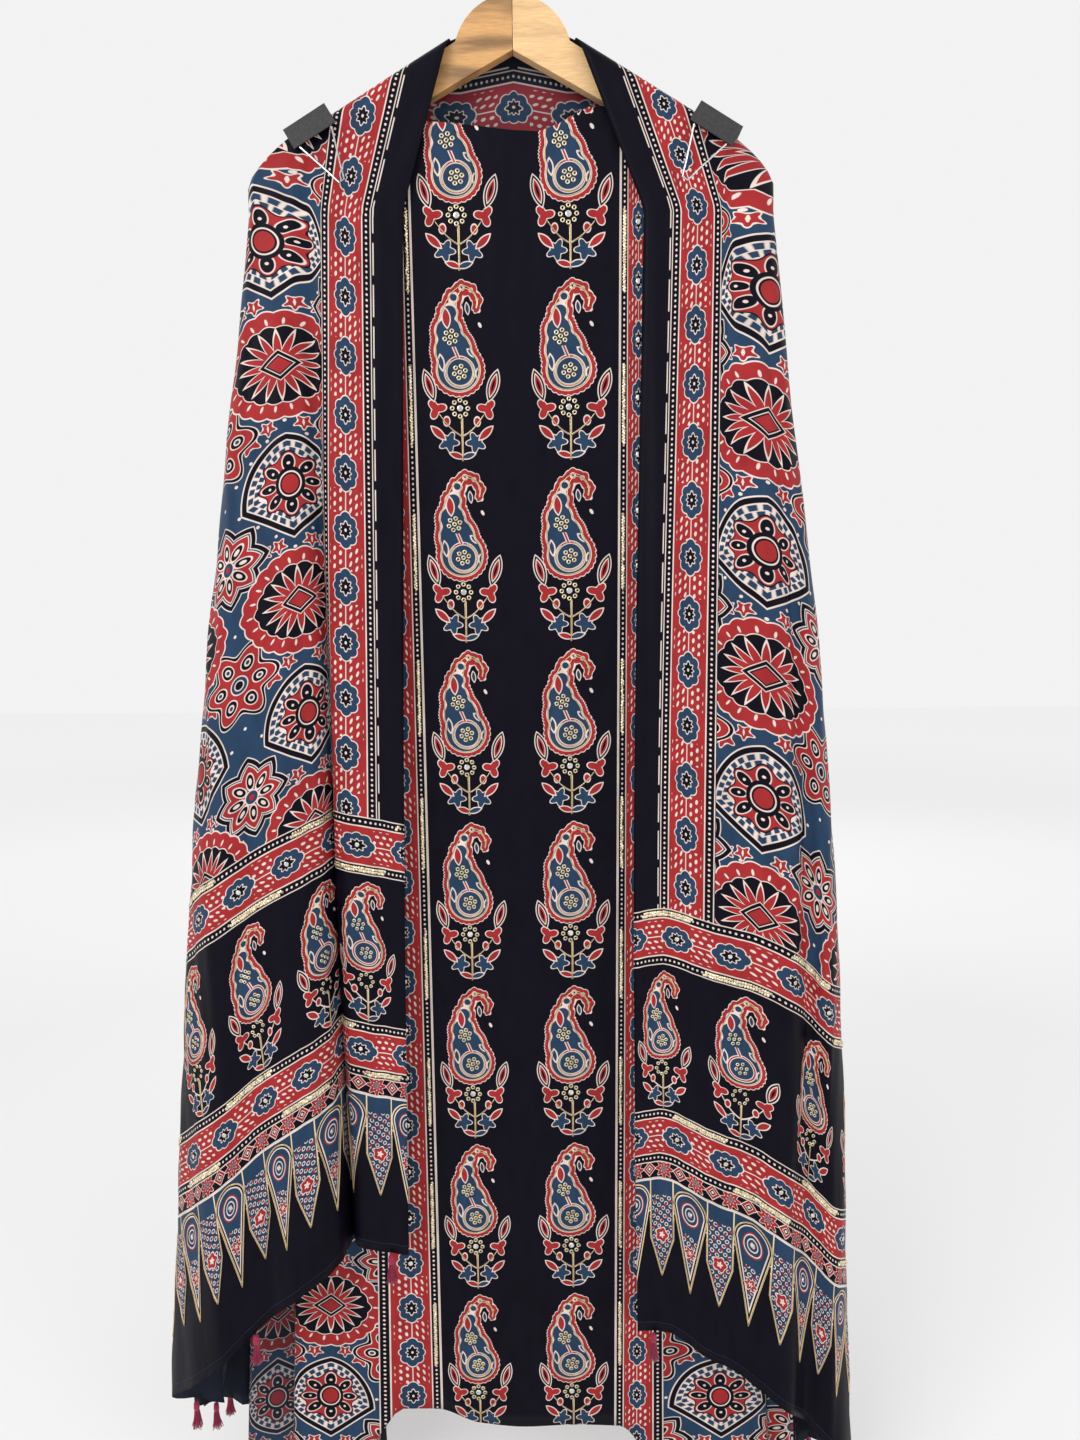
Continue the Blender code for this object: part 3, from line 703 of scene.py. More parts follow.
def bumped(tree, shader, height, distance, strength, under=None):
    """Fine relief on a shader, over the relief under it."""
    bump = tree.nodes.new("ShaderNodeBump")
    bump.inputs["Distance"].default_value = distance
    bump.inputs["Strength"].default_value = strength
    tree.links.new(height, bump.inputs["Height"])
    if under is not None:
        tree.links.new(under, bump.inputs["Normal"])
    tree.links.new(bump.outputs[0], shader.inputs["Normal"])
    return bump.outputs[0]


def silk(name, draw, dyes, painted_shade=False):
    """Printed silk: its pattern by draw(), uneven dye, a fine weave and soft creases along the cloth; on a
    wrong side, painted shade darkens it.
    """
    made, tree, shader = new_material(name, 0.42, specular=0.06)
    Mark.tree = tree
    places = []
    for layer in ("flat", "end"):
        uv = tree.nodes.new("ShaderNodeUVMap")
        uv.uv_map = layer
        split = tree.nodes.new("ShaderNodeSeparateXYZ")
        tree.links.new(scaled(tree, uv.outputs[0], (1000, 1000, 1000)), split.inputs[0])
        places += [Mark(split.outputs[0]), Mark(split.outputs[1])]
        if layer == "flat":
            vector = uv.outputs[0]
    p = draw(*places, dyes)
    uneven = noise(tree, scaled(tree, vector, (1, 0.4, 1)), 70.0, 3.0)
    colour = toned(tree, p.colour, uneven, 0.84, 1.14)
    # Painted shade on a wrong side: the print mixed 42% towards a dark blue.
    if painted_shade:
        mix = tree.nodes.new("ShaderNodeMix")
        mix.data_type = "RGBA"
        mix.inputs[0].default_value = 0.42
        tree.links.new(colour, mix.inputs[6])
        mix.inputs[7].default_value = (0.022, 0.030, 0.050, 1)
        colour = mix.outputs[2]
    tree.links.new(colour, shader.inputs["Base Color"])
    under = bumped(tree, shader, noise(tree, scaled(tree, vector, (26, 2.6, 1))), 0.0035, 0.55)
    weave = noise(tree, scaled(tree, vector, (2600, 500, 1)), detail=1.0)
    bumped(tree, shader, weave, 0.00012, 0.5, under)
    return made


# --- The hung sheets as surfaces ----------------------------------------------------------------

def slopes(x, y, bounded):
    """Slope at each row of a table; a bounded curve never passes its rows."""
    dx = np.diff(x)[:, None]
    d = np.diff(y, axis=0) / dx
    inner = (d[:-1] * dx[1:] + d[1:] * dx[:-1]) / (dx[1:] + dx[:-1])
    if bounded:
        same = d[:-1] * d[1:] > 0
        inner = np.where(same, 2 * d[:-1] * d[1:] / np.where(same, d[:-1] + d[1:], 1), 0)
    return np.concatenate([d[:1], inner, d[-1:]])


def cubic(t, start, leaving, end, arriving):
    """Cubic from start to end for t from 0 to 1, with the slopes it leaves and arrives by."""
    return ((2 * t**3 - 3 * t**2 + 1) * start + (t**3 - 2 * t**2 + t) * leaving
            + (3 * t**2 - 2 * t**3) * end + (t**3 - t**2) * arriving)


def curve_through(x, y, at, bounded=True):
    """Cubic curve through the rows (x, y) of a table, at each of at. y may have several columns."""
    y = np.asarray(y, float)
    y = y[:, None] if y.ndim == 1 else y
    m = slopes(x, y, bounded)
    i = np.clip(np.searchsorted(x, at, side="right") - 1, 0, len(x) - 2)
    h = (x[i + 1] - x[i])[:, None]
    t = ((at - x[i]) / h[:, 0])[:, None]
    return cubic(t, y[i], h * m[i], y[i + 1], h * m[i + 1])


def hang(tops, side, places, low, steps):
    """Points down many lines at once. Each leaves its top by a quarter turn, then follows a cubic
    through its places at LEVELS; the rows are spaced by distance down the line."""
    levels = np.array(LEVELS)
    xy = places * np.array((side, 1))
    u = np.linspace(0, 1, 240)
    z = tops[:, 2, None] + (low - tops[:, 2])[:, None] * u**1.6
    drop = tops[:, 2, None] - z
    slope = np.gradient(xy, levels, axis=1)
    i = np.clip(np.searchsorted(-levels, -z) - 1, 0, 1)
    span = (levels[i + 1] - levels[i])[..., None]
    t = np.clip((z - levels[i]) / span[..., 0], 0, 1.3)[..., None]
    rows = np.arange(len(tops))[:, None]
    below = cubic(t, xy[rows, i], span * slope[rows, i], xy[rows, i + 1], span * slope[rows, i + 1])
    whole = tops[:, 2] - LEVELS[0]
    turn = np.sqrt(1 - (1 - np.clip(drop / ROUND_OVER, 0, 1))**2)
    over = 1 - (1 - np.clip(drop / SHOULDER_DROP, 0, 1))**1.6
    end_on = np.clip((np.abs(xy[:, 0, 0]) - 0.190) / 0.030, 0, 1)[:, None]
    straight = np.clip(drop / whole[:, None], 0, 1)
    x = tops[:, 0, None] + (xy[:, 0, 0] - tops[:, 0])[:, None] * (straight * (1 - end_on) + over * end_on)
    near = 0.88 * xy[:, 0, 1, None]
    y = tops[:, 1, None] + (near - tops[:, 1, None]) * turn + (xy[:, 0, 1, None] - near) * straight
    upper = z > LEVELS[0]
    path = np.stack([np.where(upper, x, below[..., 0]), np.where(upper, y, below[..., 1]), z], -1)
    length = np.concatenate([np.zeros((len(tops), 1)),
                             np.cumsum(np.linalg.norm(np.diff(path, axis=1), axis=2), axis=1)], 1)
    first = np.array([0, 2.5, 5, 8, 11, 14.5, 18, 23, 28, 35]) * MM
    rest = np.linspace(0, 1, steps + 1)[1:]**1.05
    made, share = [], []
    for line, along in zip(path, length):
        at = np.concatenate([first, first[-1] + rest * (along[-1] - first[-1])])
        made.append(np.stack([np.interp(at, along, line[:, k]) for k in range(3)], 1))
        share.append(at / along[-1])
    return np.array(made), np.array(share)


def half_shawl(rows, side, fine, steps):
    """One half of the shawl: its points, and their places on the flat cloth (w, signed s)."""
    table = np.array(rows, float)
    at = np.linspace(0, len(rows) - 1, (len(rows) - 1) * fine + 1)
    number = np.arange(len(rows), dtype=float)
    share, s, w = curve_through(number, table[:, :3], at).T
    xy = curve_through(number, table[:, 3:9] * MM, at, bounded=False).reshape(-1, 3, 2)
    low = curve_through(number, table[:, 9] * MM, at)[:, 0]
    across = CROSSING + share * (CLIP_ACROSS - CROSSING)
    tops = np.stack([side * across, 0 * across, RIDGE_TOP - ARM_SLOPE * across], 1)
    points, down = hang(tops, side, xy, low, steps)
    start_s = rows[-1][1] + share * (CLIP_FLAT[side][0] - rows[-1][1])
    start = np.stack([share * CLIP_FLAT[side][1], start_s], 1)
    end = np.stack([w, s], 1)
    flat = start[:, None] + (end - start)[:, None] * down[..., None]
    flat[..., 1] *= side
    return points, flat


def neck_back(steps):
    """The part of the shawl behind the neck, between its two halves."""
    x = np.array([r[0] for r in NECK_LINES]) * MM
    fine = np.linspace(x[0], x[-1], 17)
    tops = np.stack([fine, 0 * fine + 0.0115, -0.080 - 0.2 * np.abs(fine)], 1)
    xy = np.stack([np.stack([np.abs(fine), 0 * fine + y * MM], 1) for y in (19, 38, 44)], 1)
    xy[:, :, 0] *= np.sign(fine)[:, None]
    points, down = hang(tops, 1, xy, 0 * fine - 0.988, steps)
    points[..., 1] = np.maximum(points[..., 1], 0.0115)
    flat = np.stack([down * SHAWL_WIDTH, np.broadcast_to(fine[:, None], down.shape)], -1)
    return points, flat


def normals(points):
    """Outward direction at each point of a grid, from its neighbours."""
    made = np.cross(np.gradient(points, axis=0), np.gradient(points, axis=1))
    length = np.linalg.norm(made, axis=2, keepdims=True)
    return made / np.maximum(length, 1e-12)


def creased(points, flat):
    """Soft creases down the cloth: small waves growing below the arms, and broad flutes past w 0.42."""
    w, s = flat[..., 0], flat[..., 1]
    height = (0.8 * np.sin(TURN * w / 0.047 + 2.2 * np.sin(5 * s))
              + 0.6 * np.sin(TURN * w / 0.021 + 3 * np.cos(4 * s + w * 9))
              + 0.5 * np.sin(TURN * (w * 0.7 + s * 0.25) / 0.09))
    below = np.clip((-0.19 - points[..., 2]) / 0.25, 0, 1)
    aside = np.clip((w - 0.42) / 0.06, 0, 1) * np.clip((SHAWL_WIDTH - w) / 0.05, 0, 1)
    flutes = np.clip((-0.30 - points[..., 2]) / 0.7, 0, 1) * np.sin(TURN * (w - 0.42) / 0.098)
    height += 10.0 * aside * flutes
    return points + normals(points) * (height * below * 0.9 * MM)[..., None]


def make_mesh(name, points, faces, layers, material_of_face, finishes, home):
    """A smooth mesh object with its UV maps and finishes."""
    mesh = bpy.data.meshes.new(name)
    mesh.from_pydata(points.tolist(), [], faces)
    corner = np.empty(len(mesh.loops), np.int32)
    mesh.loops.foreach_get("vertex_index", corner)
    for layer, values in layers.items():
        uv = mesh.uv_layers.new(name=layer)
        uv.data.foreach_set("uv", values[corner].astype(np.float32).ravel())
    if material_of_face is not None:
        mesh.polygons.foreach_set("material_index", material_of_face.astype(np.int32))
    for finish in finishes:
        mesh.materials.append(finish)
    mesh.shade_smooth()
    made = bpy.data.objects.new(name, mesh)
    home.objects.link(made)
    return made


def grid_faces(number):
    """Quads of a grid of vertex numbers, with a triangle where two neighbours are one vertex."""
    quads = np.stack([number[:-1, :-1], number[1:, :-1], number[1:, 1:], number[:-1, 1:]], -1).reshape(-1, 4)
    merged = quads[:, 0] == quads[:, 1]
    return quads[~merged], quads[merged][:, 1:]


def thickened(made, thick, wrong_side):
    """Gives a sheet its thickness and a finish of its own on its wrong side."""
    solid = made.modifiers.new("cloth", "SOLIDIFY")
    solid.thickness, solid.offset = thick, 0
    solid.material_offset = wrong_side
    solid.material_offset_rim = 0


def build_shawl(home, sizes, finishes):
    """Left half, the part behind the neck and right half as one cloth, sharing the ridge over each arm."""
    steps = 112
    fine = sizes.line_steps
    left, left_flat = half_shawl(LEFT_LINES, -1, fine, steps)
    right, right_flat = half_shawl(RIGHT_LINES, 1, fine, steps)
    neck, neck_flat = neck_back(steps)
    left, right = creased(left, left_flat), creased(right, right_flat)
    halves = {-1: (left, left_flat, normals(left)), 1: (right, right_flat, -normals(right))}
    points = np.concatenate([left, neck, right[::-1]])
    flat = np.concatenate([left_flat, neck_flat, right_flat[::-1]])
    ends = []
    for piece, side in ((left_flat, -1), (neck_flat, 1), (right_flat[::-1], 1)):
        ends.append(np.stack([piece[..., 0] * side, END_AT[side] - np.abs(piece[..., 1])], -1))
    ends[1][..., 1] = 1.1     # behind the neck, far from both ends
    end = np.concatenate(ends)
    rounded = np.round(points.reshape(-1, 3), 7)
    _, first, number = np.unique(rounded, axis=0, return_index=True, return_inverse=True)
    quads, tris = grid_faces(number.reshape(points.shape[:2]))
    faces = quads.tolist() + tris.tolist()
    e = end.reshape(-1, 2)[first][:, 1]
    lowest = np.concatenate([e[quads].min(1), e[tris].min(1)])
    highest = np.concatenate([e[quads].max(1), e[tris].max(1)])
    which = np.where(lowest > MAIN_FROM, 0, np.where(highest < END_FROM, 2, 1))
    layers = {"flat": flat.reshape(-1, 2)[first], "end": end.reshape(-1, 2)[first]}
    made = make_mesh("shawl_cloth", points.reshape(-1, 3)[first], faces, layers, which, finishes, home)
    thickened(made, sizes.cloth_thick, len(finishes) - 1)
    return made, halves


def build_dress(home, sizes, finishes):
    """The dress length: a front layer and a back layer joined by a rounded fold along the top."""
    steps = 90
    red = SIDE_RED * MM
    across = np.concatenate([np.linspace(-DRESS_HALF, DRESS_HALF, 131), (-red, red)])
    across = np.unique(np.round(across, 5))
    fold_x, fold_z = np.array(TOP_FOLD).T
    t = np.linspace(0, 1, steps + 1)**1.1
    opened = (t**0.7)[None, :, None]
    layers = []
    for table in (FRONT_FOLDS, BACK_FOLDS):
        table = np.array(table, float) * MM
        top_x, top_y, hem_x, hem_y, low = curve_through(table[:, 0], table[:, 1:], across).T
        top_z = np.interp(top_x, fold_x, fold_z)
        top, hem = np.stack([top_x, top_y], 1)[:, None], np.stack([hem_x, hem_y], 1)[:, None]
        xy = top + (hem - top) * opened
        z = top_z[:, None] + (low - top_z)[:, None] * t
        layers.append(np.concatenate([xy, z[..., None]], 2))
    front, back = layers
    turn = np.linspace(0, math.pi, 7)[1:-1]
    middle, half = (front[:, :1] + back[:, :1]) / 2, (front[:, :1] - back[:, :1]) / 2
    crown = middle + half * np.cos(turn)[None, :, None]
    crown[..., 2] += 1.6 * MM * np.sin(turn)
    points = np.concatenate([front[:, ::-1], crown, back], 1)
    length = np.cumsum(np.linalg.norm(np.diff(points, axis=1), axis=2), axis=1)
    length = np.concatenate([np.zeros((len(across), 1)), length], 1)
    top = steps + 3
    s = length[:, top:top + 1] - length + FOLD_LEVEL - front[:, :1, 2]
    flat = np.stack([np.broadcast_to(across[:, None], s.shape), s], -1)
    number = np.arange(points.shape[0] * points.shape[1]).reshape(points.shape[:2])
    quads = np.stack([number[:-1, :-1], number[1:, :-1], number[1:, 1:], number[:-1, 1:]], -1)
    middle_w = np.abs((across[1:] + across[:-1]) / 2)
    which = np.broadcast_to((middle_w > red)[:, None], quads.shape[:2]).astype(int).ravel()
    flat_list = flat.reshape(-1, 2)
    made = make_mesh("dress_length_cloth", points.reshape(-1, 3), quads.reshape(-1, 4).tolist(),
                     {"flat": flat_list, "end": flat_list}, which, finishes, home)
    thickened(made, sizes.cloth_thick, len(finishes) - 1)
    return made, (points, flat, normals(points))


# --- Stitched work laid on the hung sheets ------------------------------------------------------

def between(grid, u, v):
    """Values of a grid at fractional rows u and columns v, straight between its four neighbours."""
    i = np.clip(u.astype(int), 0, grid.shape[0] - 2)
    j = np.clip(v.astype(int), 0, grid.shape[1] - 2)
    a, b = (u - i)[:, None], (v - j)[:, None]
    return (grid[i, j] * (1 - a) * (1 - b) + grid[i + 1, j] * a * (1 - b)
            + grid[i, j + 1] * (1 - a) * b + grid[i + 1, j + 1] * a * b)


def on_cloth(sheet, where, lift):
    """Places and outward directions on a hung sheet for points given on the flat cloth.

    Each starts at the nearest of a coarse set of grid points and is moved by Newton's steps until its
    flat place is the one asked for."""
    points, flat, out = sheet
    ci, cj = np.arange(0, flat.shape[0], 4), np.arange(0, flat.shape[1], 4)
    coarse = flat[np.ix_(ci, cj)].reshape(-1, 2)
    u, v = np.empty(len(where)), np.empty(len(where))
    for part in range(0, len(where), 2000):
        w = where[part:part + 2000]
        near = ((w[:, None] - coarse[None])**2).sum(2).argmin(1)
        u[part:part + 2000], v[part:part + 2000] = ci[near // len(cj)], cj[near % len(cj)]
    u, v = u + 0.5, v + 0.5
    top_u, top_v = flat.shape[0] - 1.001, flat.shape[1] - 1.001
    for _ in range(14):
        here = between(flat, u, v)
        du = (between(flat, np.minimum(u + 0.3, top_u), v) - between(flat, np.maximum(u - 0.3, 0), v)) / 0.6
        dv = (between(flat, u, np.minimum(v + 0.3, top_v)) - between(flat, u, np.maximum(v - 0.3, 0))) / 0.6
        gap = where - here
        area = du[:, 0] * dv[:, 1] - du[:, 1] * dv[:, 0]
        area = np.where(np.abs(area) < 1e-12, 1e-12, area)
        u = np.clip(u + np.clip((gap[:, 0] * dv[:, 1] - gap[:, 1] * dv[:, 0]) / area, -6, 6), 0, top_u)
        v = np.clip(v + np.clip((gap[:, 1] * du[:, 0] - gap[:, 0] * du[:, 1]) / area, -6, 6), 0, top_v)
    good = np.linalg.norm(where - between(flat, u, v), axis=1) < 0.0015
    direction = between(out, u, v)
    direction /= np.maximum(np.linalg.norm(direction, axis=1, keepdims=True), 1e-9)
    return between(points, u, v) + direction * lift, direction, good


def cords_mesh(name, paths, sheet, radius, lift, finish, home, sides=4):
    """Round cords along flat paths: a ring of points about each place, turned with the cloth."""
    joined = np.concatenate(paths)
    place, out, good = on_cloth(sheet, joined, lift)
    points, faces, at = [], [], 0
    ring = np.arange(sides) * TURN / sides + 0.4
    for path in paths:
        n = len(path)
        p, o, ok = place[at:at + n], out[at:at + n], good[at:at + n]
        at += n
        p, o = p[ok], o[ok]
        if len(p) < 3:
            continue
        along = np.gradient(p, axis=0)
        if np.linalg.norm(np.diff(p, axis=0), axis=1).max() > 0.03:
            continue
        along /= np.maximum(np.linalg.norm(along, axis=1, keepdims=True), 1e-9)
        sideways = np.cross(along, o)
        rings = (p[:, None] + radius * (np.cos(ring)[None, :, None] * sideways[:, None]
                                        + np.sin(ring)[None, :, None] * o[:, None]))
        base = sum(len(q) for q in points)
        points.append(rings.reshape(-1, 3))
        k = base + np.arange(len(p))[:, None] * sides + np.arange(sides)
        turned = np.roll(k, -1, axis=1)
        quads = np.stack([k[:-1], turned[:-1], turned[1:], k[1:]], -1).reshape(-1, 4)
        faces += quads.tolist() + [k[0][::-1].tolist(), k[-1].tolist()]
    return make_mesh(name, np.concatenate(points), faces, {}, None, [finish], home)


def discs_mesh(name, where, sheet, radius, rise, lift, finish, home, sides=8, hole=0.0, tilt=0.0):
    """Round sequins or mirrors: a rim on the cloth and a raised inner ring or centre."""
    place, out, good = on_cloth(sheet, np.asarray(where), lift)
    place, out = place[good], out[good]
    radius = np.broadcast_to(radius, good.shape)[good][:, None, None]
    if tilt:
        out = out + tilt * np.random.default_rng(5).normal(size=out.shape)
        out /= np.linalg.norm(out, axis=1, keepdims=True)
    aside = np.cross(out, (0.0, 0.13, 0.99))
    aside /= np.linalg.norm(aside, axis=1, keepdims=True)
    up = np.cross(out, aside)
    a = np.arange(sides) * TURN / sides
    round_ = np.cos(a)[None, :, None] * aside[:, None] + np.sin(a)[None, :, None] * up[:, None]
    rings = [place[:, None] + round_ * radius, place[:, None] + round_ * radius * 0.62 + out[:, None] * rise]
    if hole:
        rings.append(place[:, None] + round_ * radius * hole + out[:, None] * rise * 0.3)
        rings.append(place[:, None] - out[:, None] * 0.0002 + round_ * radius * 0.8)
    else:
        rings.append(place[:, None] + out[:, None] * rise * 1.15)
        rings.append(place[:, None] - out[:, None] * 0.0002)
    starts = np.cumsum([0] + [r.shape[1] for r in rings])
    points = np.concatenate(rings, 1).reshape(-1, 3)
    base = (np.arange(len(place)) * starts[-1])[:, None]
    i = np.arange(sides)[None]
    j = (i + 1) % sides

    def quads(one, other):
        """Faces between two of the rings."""
        one, other = base + starts[one], base + starts[other]
        return np.stack([one + i, one + j, other + j, other + i], -1).reshape(-1, 4).tolist()

    faces = quads(0, 1)
    if hole:
        faces += quads(1, 2) + quads(2, 3) + quads(3, 0)
    else:
        top = np.stack([base + starts[1] + i, base + starts[1] + j, base + starts[2] + 0 * i], -1)
        low = np.stack([base + j, base + i, base + starts[3] + 0 * i], -1)
        faces += top.reshape(-1, 3).tolist() + low.reshape(-1, 3).tolist()
    return make_mesh(name, points, faces, {}, None, [finish], home)


def spine():
    """Centres and radii down the middle of the paisley, from its round foot to its tip."""
    table = np.array(BODY)
    at = np.linspace(0, len(BODY) - 1, 57)
    return curve_through(np.arange(len(BODY), dtype=float), table, at, bounded=False)


def body_outline(inset):
    """The paisley's edge moved in: down its left side, round the foot and up its right side to the tip."""
    line = spine()
    centre, radius = line[:, :2], np.maximum(line[:, 2] - inset, 0.35)
    along = np.gradient(centre, axis=0)
    along /= np.linalg.norm(along, axis=1, keepdims=True)
    left = np.stack([-along[:, 1], along[:, 0]], 1)
    start = math.atan2(left[0, 1], left[0, 0])
    foot = np.linspace(start, start + math.pi, 26)[1:-1]
    round_foot = centre[0] + radius[0] * np.stack([np.cos(foot), np.sin(foot)], 1)
    aside = left * radius[:, None]
    return np.concatenate([(centre + aside)[::-1], round_foot, centre - aside])


def circle(x, y, radius, count, start=0.0, sweep=TURN):
    """Places along a circle or a part of one."""
    a = start + np.linspace(0, sweep, count)
    return np.stack([x + radius * np.cos(a), y + radius * np.sin(a)], 1)


def plant_cords():
    """The metal thread of one plant, in mm from the foot of its stem."""
    stem = np.stack([np.linspace(0, -0.8, 12), np.linspace(0, 36, 12)], 1)
    cords = [body_outline(3.8), stem, circle(*SPIRAL, 12.4, 34, 2.2, 5.4)]
    for side in (-1, 1):
        out = np.linspace(0, 20, 12)
        cords.append(np.stack([side * out, 21.5 + out * 0.38 + out**2 * 0.030], 1))
    return cords


def plant_sequins():
    """Places of the ring sequins of one plant, mm: two clusters in the body and a ring round the mirror."""
    clusters = [np.concatenate([[middle], circle(*middle, 5.1, 7, 0.3)[:-1]]) for middle in (SPIRAL, NECK)]
    return np.concatenate([*clusters, circle(*GLASS, 6.9, 9)[:-1]])


def runs(start, stop, on, off, step_by):
    """Places along a strip where a run of sequins lies, on for a length and off for the next."""
    at = np.arange(start, stop, step_by)
    return at[(at - start) % (on + off) < on]


def stitch_dress(home, sizes, sheet, gold, sequin, mirror):
    """Metal thread, sequins and mirrors of the dress length, on both its layers."""
    feet = [(side * MOTIF_SIDE, FIRST_STEM + MOTIF_PITCH * row) for row in range(-7, 8) for side in (-1, 1)]

    def above(foot, line):
        """A line of a plant, in metres on the flat cloth, from the foot of its stem."""
        return (np.array(foot) + np.asarray(line) * (1, -1)) * MM

    paths = [above(foot, cord) for foot in feet for cord in plant_cords()]
    spots = np.concatenate([above(foot, plant_sequins()) for foot in feet])
    glass = np.concatenate([above(foot, [GLASS]) for foot in feet])
    inner = SIDE_RED - RED_HALF - RIM - DOTTED
    line = runs(-1210, 1215, 68, 60, 2.6)
    rows = np.concatenate([np.stack([0 * line + side * (inner + 0.45 * way), line + 0.65 * way], 1)
                           for side in (-1, 1) for way in (-1, 1)]) * MM
    stones = [(side * SIDE_RED, k * ROSETTE_PITCH - ROSETTE_UP) for side in (-1, 1) for k in range(-22, 23)]
    return [cords_mesh("dress_gold_cord", paths, sheet, sizes.gold_cord, 0.0007, gold, home),
            discs_mesh("dress_sequins", spots, sheet, sizes.sequin, 0.0004, 0.0006, sequin, home, hole=0.3),
            discs_mesh("dress_mirrors", glass, sheet, 0.0034, 0.0004, 0.0006, mirror, home, sides=12),
            discs_mesh("dress_sequin_runs", rows, sheet, 0.0017, 0.0004, 0.0009, sequin, home,
                       sides=7, tilt=0.28),
            discs_mesh("dress_border_mirrors", np.array(stones) * MM, sheet, 0.0030, 0.0004, 0.0006, mirror,
                       home, sides=12)]


def arch_line():
    """Edge of an arch, mm: x and the distance down from the cream line."""
    t = np.linspace(21, 102.5, 26)
    taper = 18.0 - (t - 21) * 0.22
    top = circle(0, 21, 18.0, 16, math.pi, math.pi)
    return np.concatenate([np.stack([-taper, t], 1)[::-1], top, np.stack([taper, t], 1)])


def leaf_line():
    """Edges of the leaf between two arches, mm: its left and its right."""
    t = np.linspace(58, 97, 18)
    taper = 13.5 - (t - 58) * 0.34
    side = np.linspace(36, 58, 6)[:-1]
    wide = 0 * side + 13.5
    half = np.concatenate([np.stack([wide, side], 1), np.stack([taper, t], 1)])
    return half * (-1, 1), half


def stitch_shawl(home, sizes, halves, gold, sequin, mirror):
    """Metal thread, sequins and mirrors of the shawl's two ends."""
    made = []
    for side, word in ((-1, "left"), (1, "right")):
        sheet, end = halves[side], END_AT[side] / MM
        lowest = -800 if side < 0 else 0

        def flat(across, up):
            """Places of the end, in metres on the flat cloth."""
            return np.stack([np.asarray(across) * side, side * (end - np.asarray(up))], 1) * MM

        def spaced(pitch, start, numbers, margin):
            """Repeats of a pitch that lie on this half, a margin inside its edges."""
            places = [start + pitch * k for k in numbers]
            return [x for x in places if lowest + margin < x < lowest + 800 - margin]

        def above(x, line):
            """A line of a plant of the band, from the foot of its stem."""
            return flat(x + line[:, 0] * BAND_SCALE, BAND_FOOT + line[:, 1] * BAND_SCALE)

        feet = spaced(BAND_MOTIF, BAND_START, range(-13, 13), 20)
        arches = spaced(ARCH_PITCH, 0, range(-15, 16), 14)
        paths = [above(x, cord) for x in feet for cord in plant_cords()[:2]]
        paths += [flat(x + arch_line()[:, 0], CREAM_LINE - arch_line()[:, 1]) for x in arches]
        for x in spaced(ARCH_PITCH, ARCH_PITCH // 2, range(-15, 16), 14):
            paths += [flat(x + half[:, 0], CREAM_LINE - half[:, 1]) for half in leaf_line()]
        made.append(cords_mesh(f"shawl_gold_cord_{word}", paths, sheet, sizes.gold_cord, 0.0006, gold, home))
        spots = []
        for middle, way, start in ((FIRST_RED, 1, 6), (FIRST_RED, -1, 70),
                                   (SECOND_RED, 1, 40), (SECOND_RED, -1, 100)):
            strip_at = middle + way * (RED_HALF + RIM + DOTTED)
            line = runs(lowest + 6 + start, lowest + 794, 52, 78, 2.0)
            spots += [flat(line + z, 0 * line + strip_at + 1.2 * z) for z in (-1, 1)]
        made.append(discs_mesh(f"shawl_sequin_runs_{word}", np.concatenate(spots), sheet, 0.0017, 0.0004,
                               0.0008, sequin, home, sides=7, tilt=0.28))
        beads = np.concatenate([above(x, plant_sequins()) for x in feet])
        made.append(discs_mesh(f"shawl_sequins_{word}", beads, sheet, sizes.sequin * 0.8, 0.0003, 0.0005,
                               sequin, home, hole=0.3))
        rosettes = spaced(ROSETTE_PITCH, 0, range(-17, 18), 10)
        stones = [flat([x], [middle]) for middle in (FIRST_RED, SECOND_RED) for x in rosettes]
        stones += [flat([x], [CREAM_LINE - 24.0]) for x in arches]
        made.append(discs_mesh(f"shawl_mirrors_{word}", np.concatenate(stones), sheet, 0.0026, 0.0004,
                               0.0005, mirror, home, sides=12))
    return made


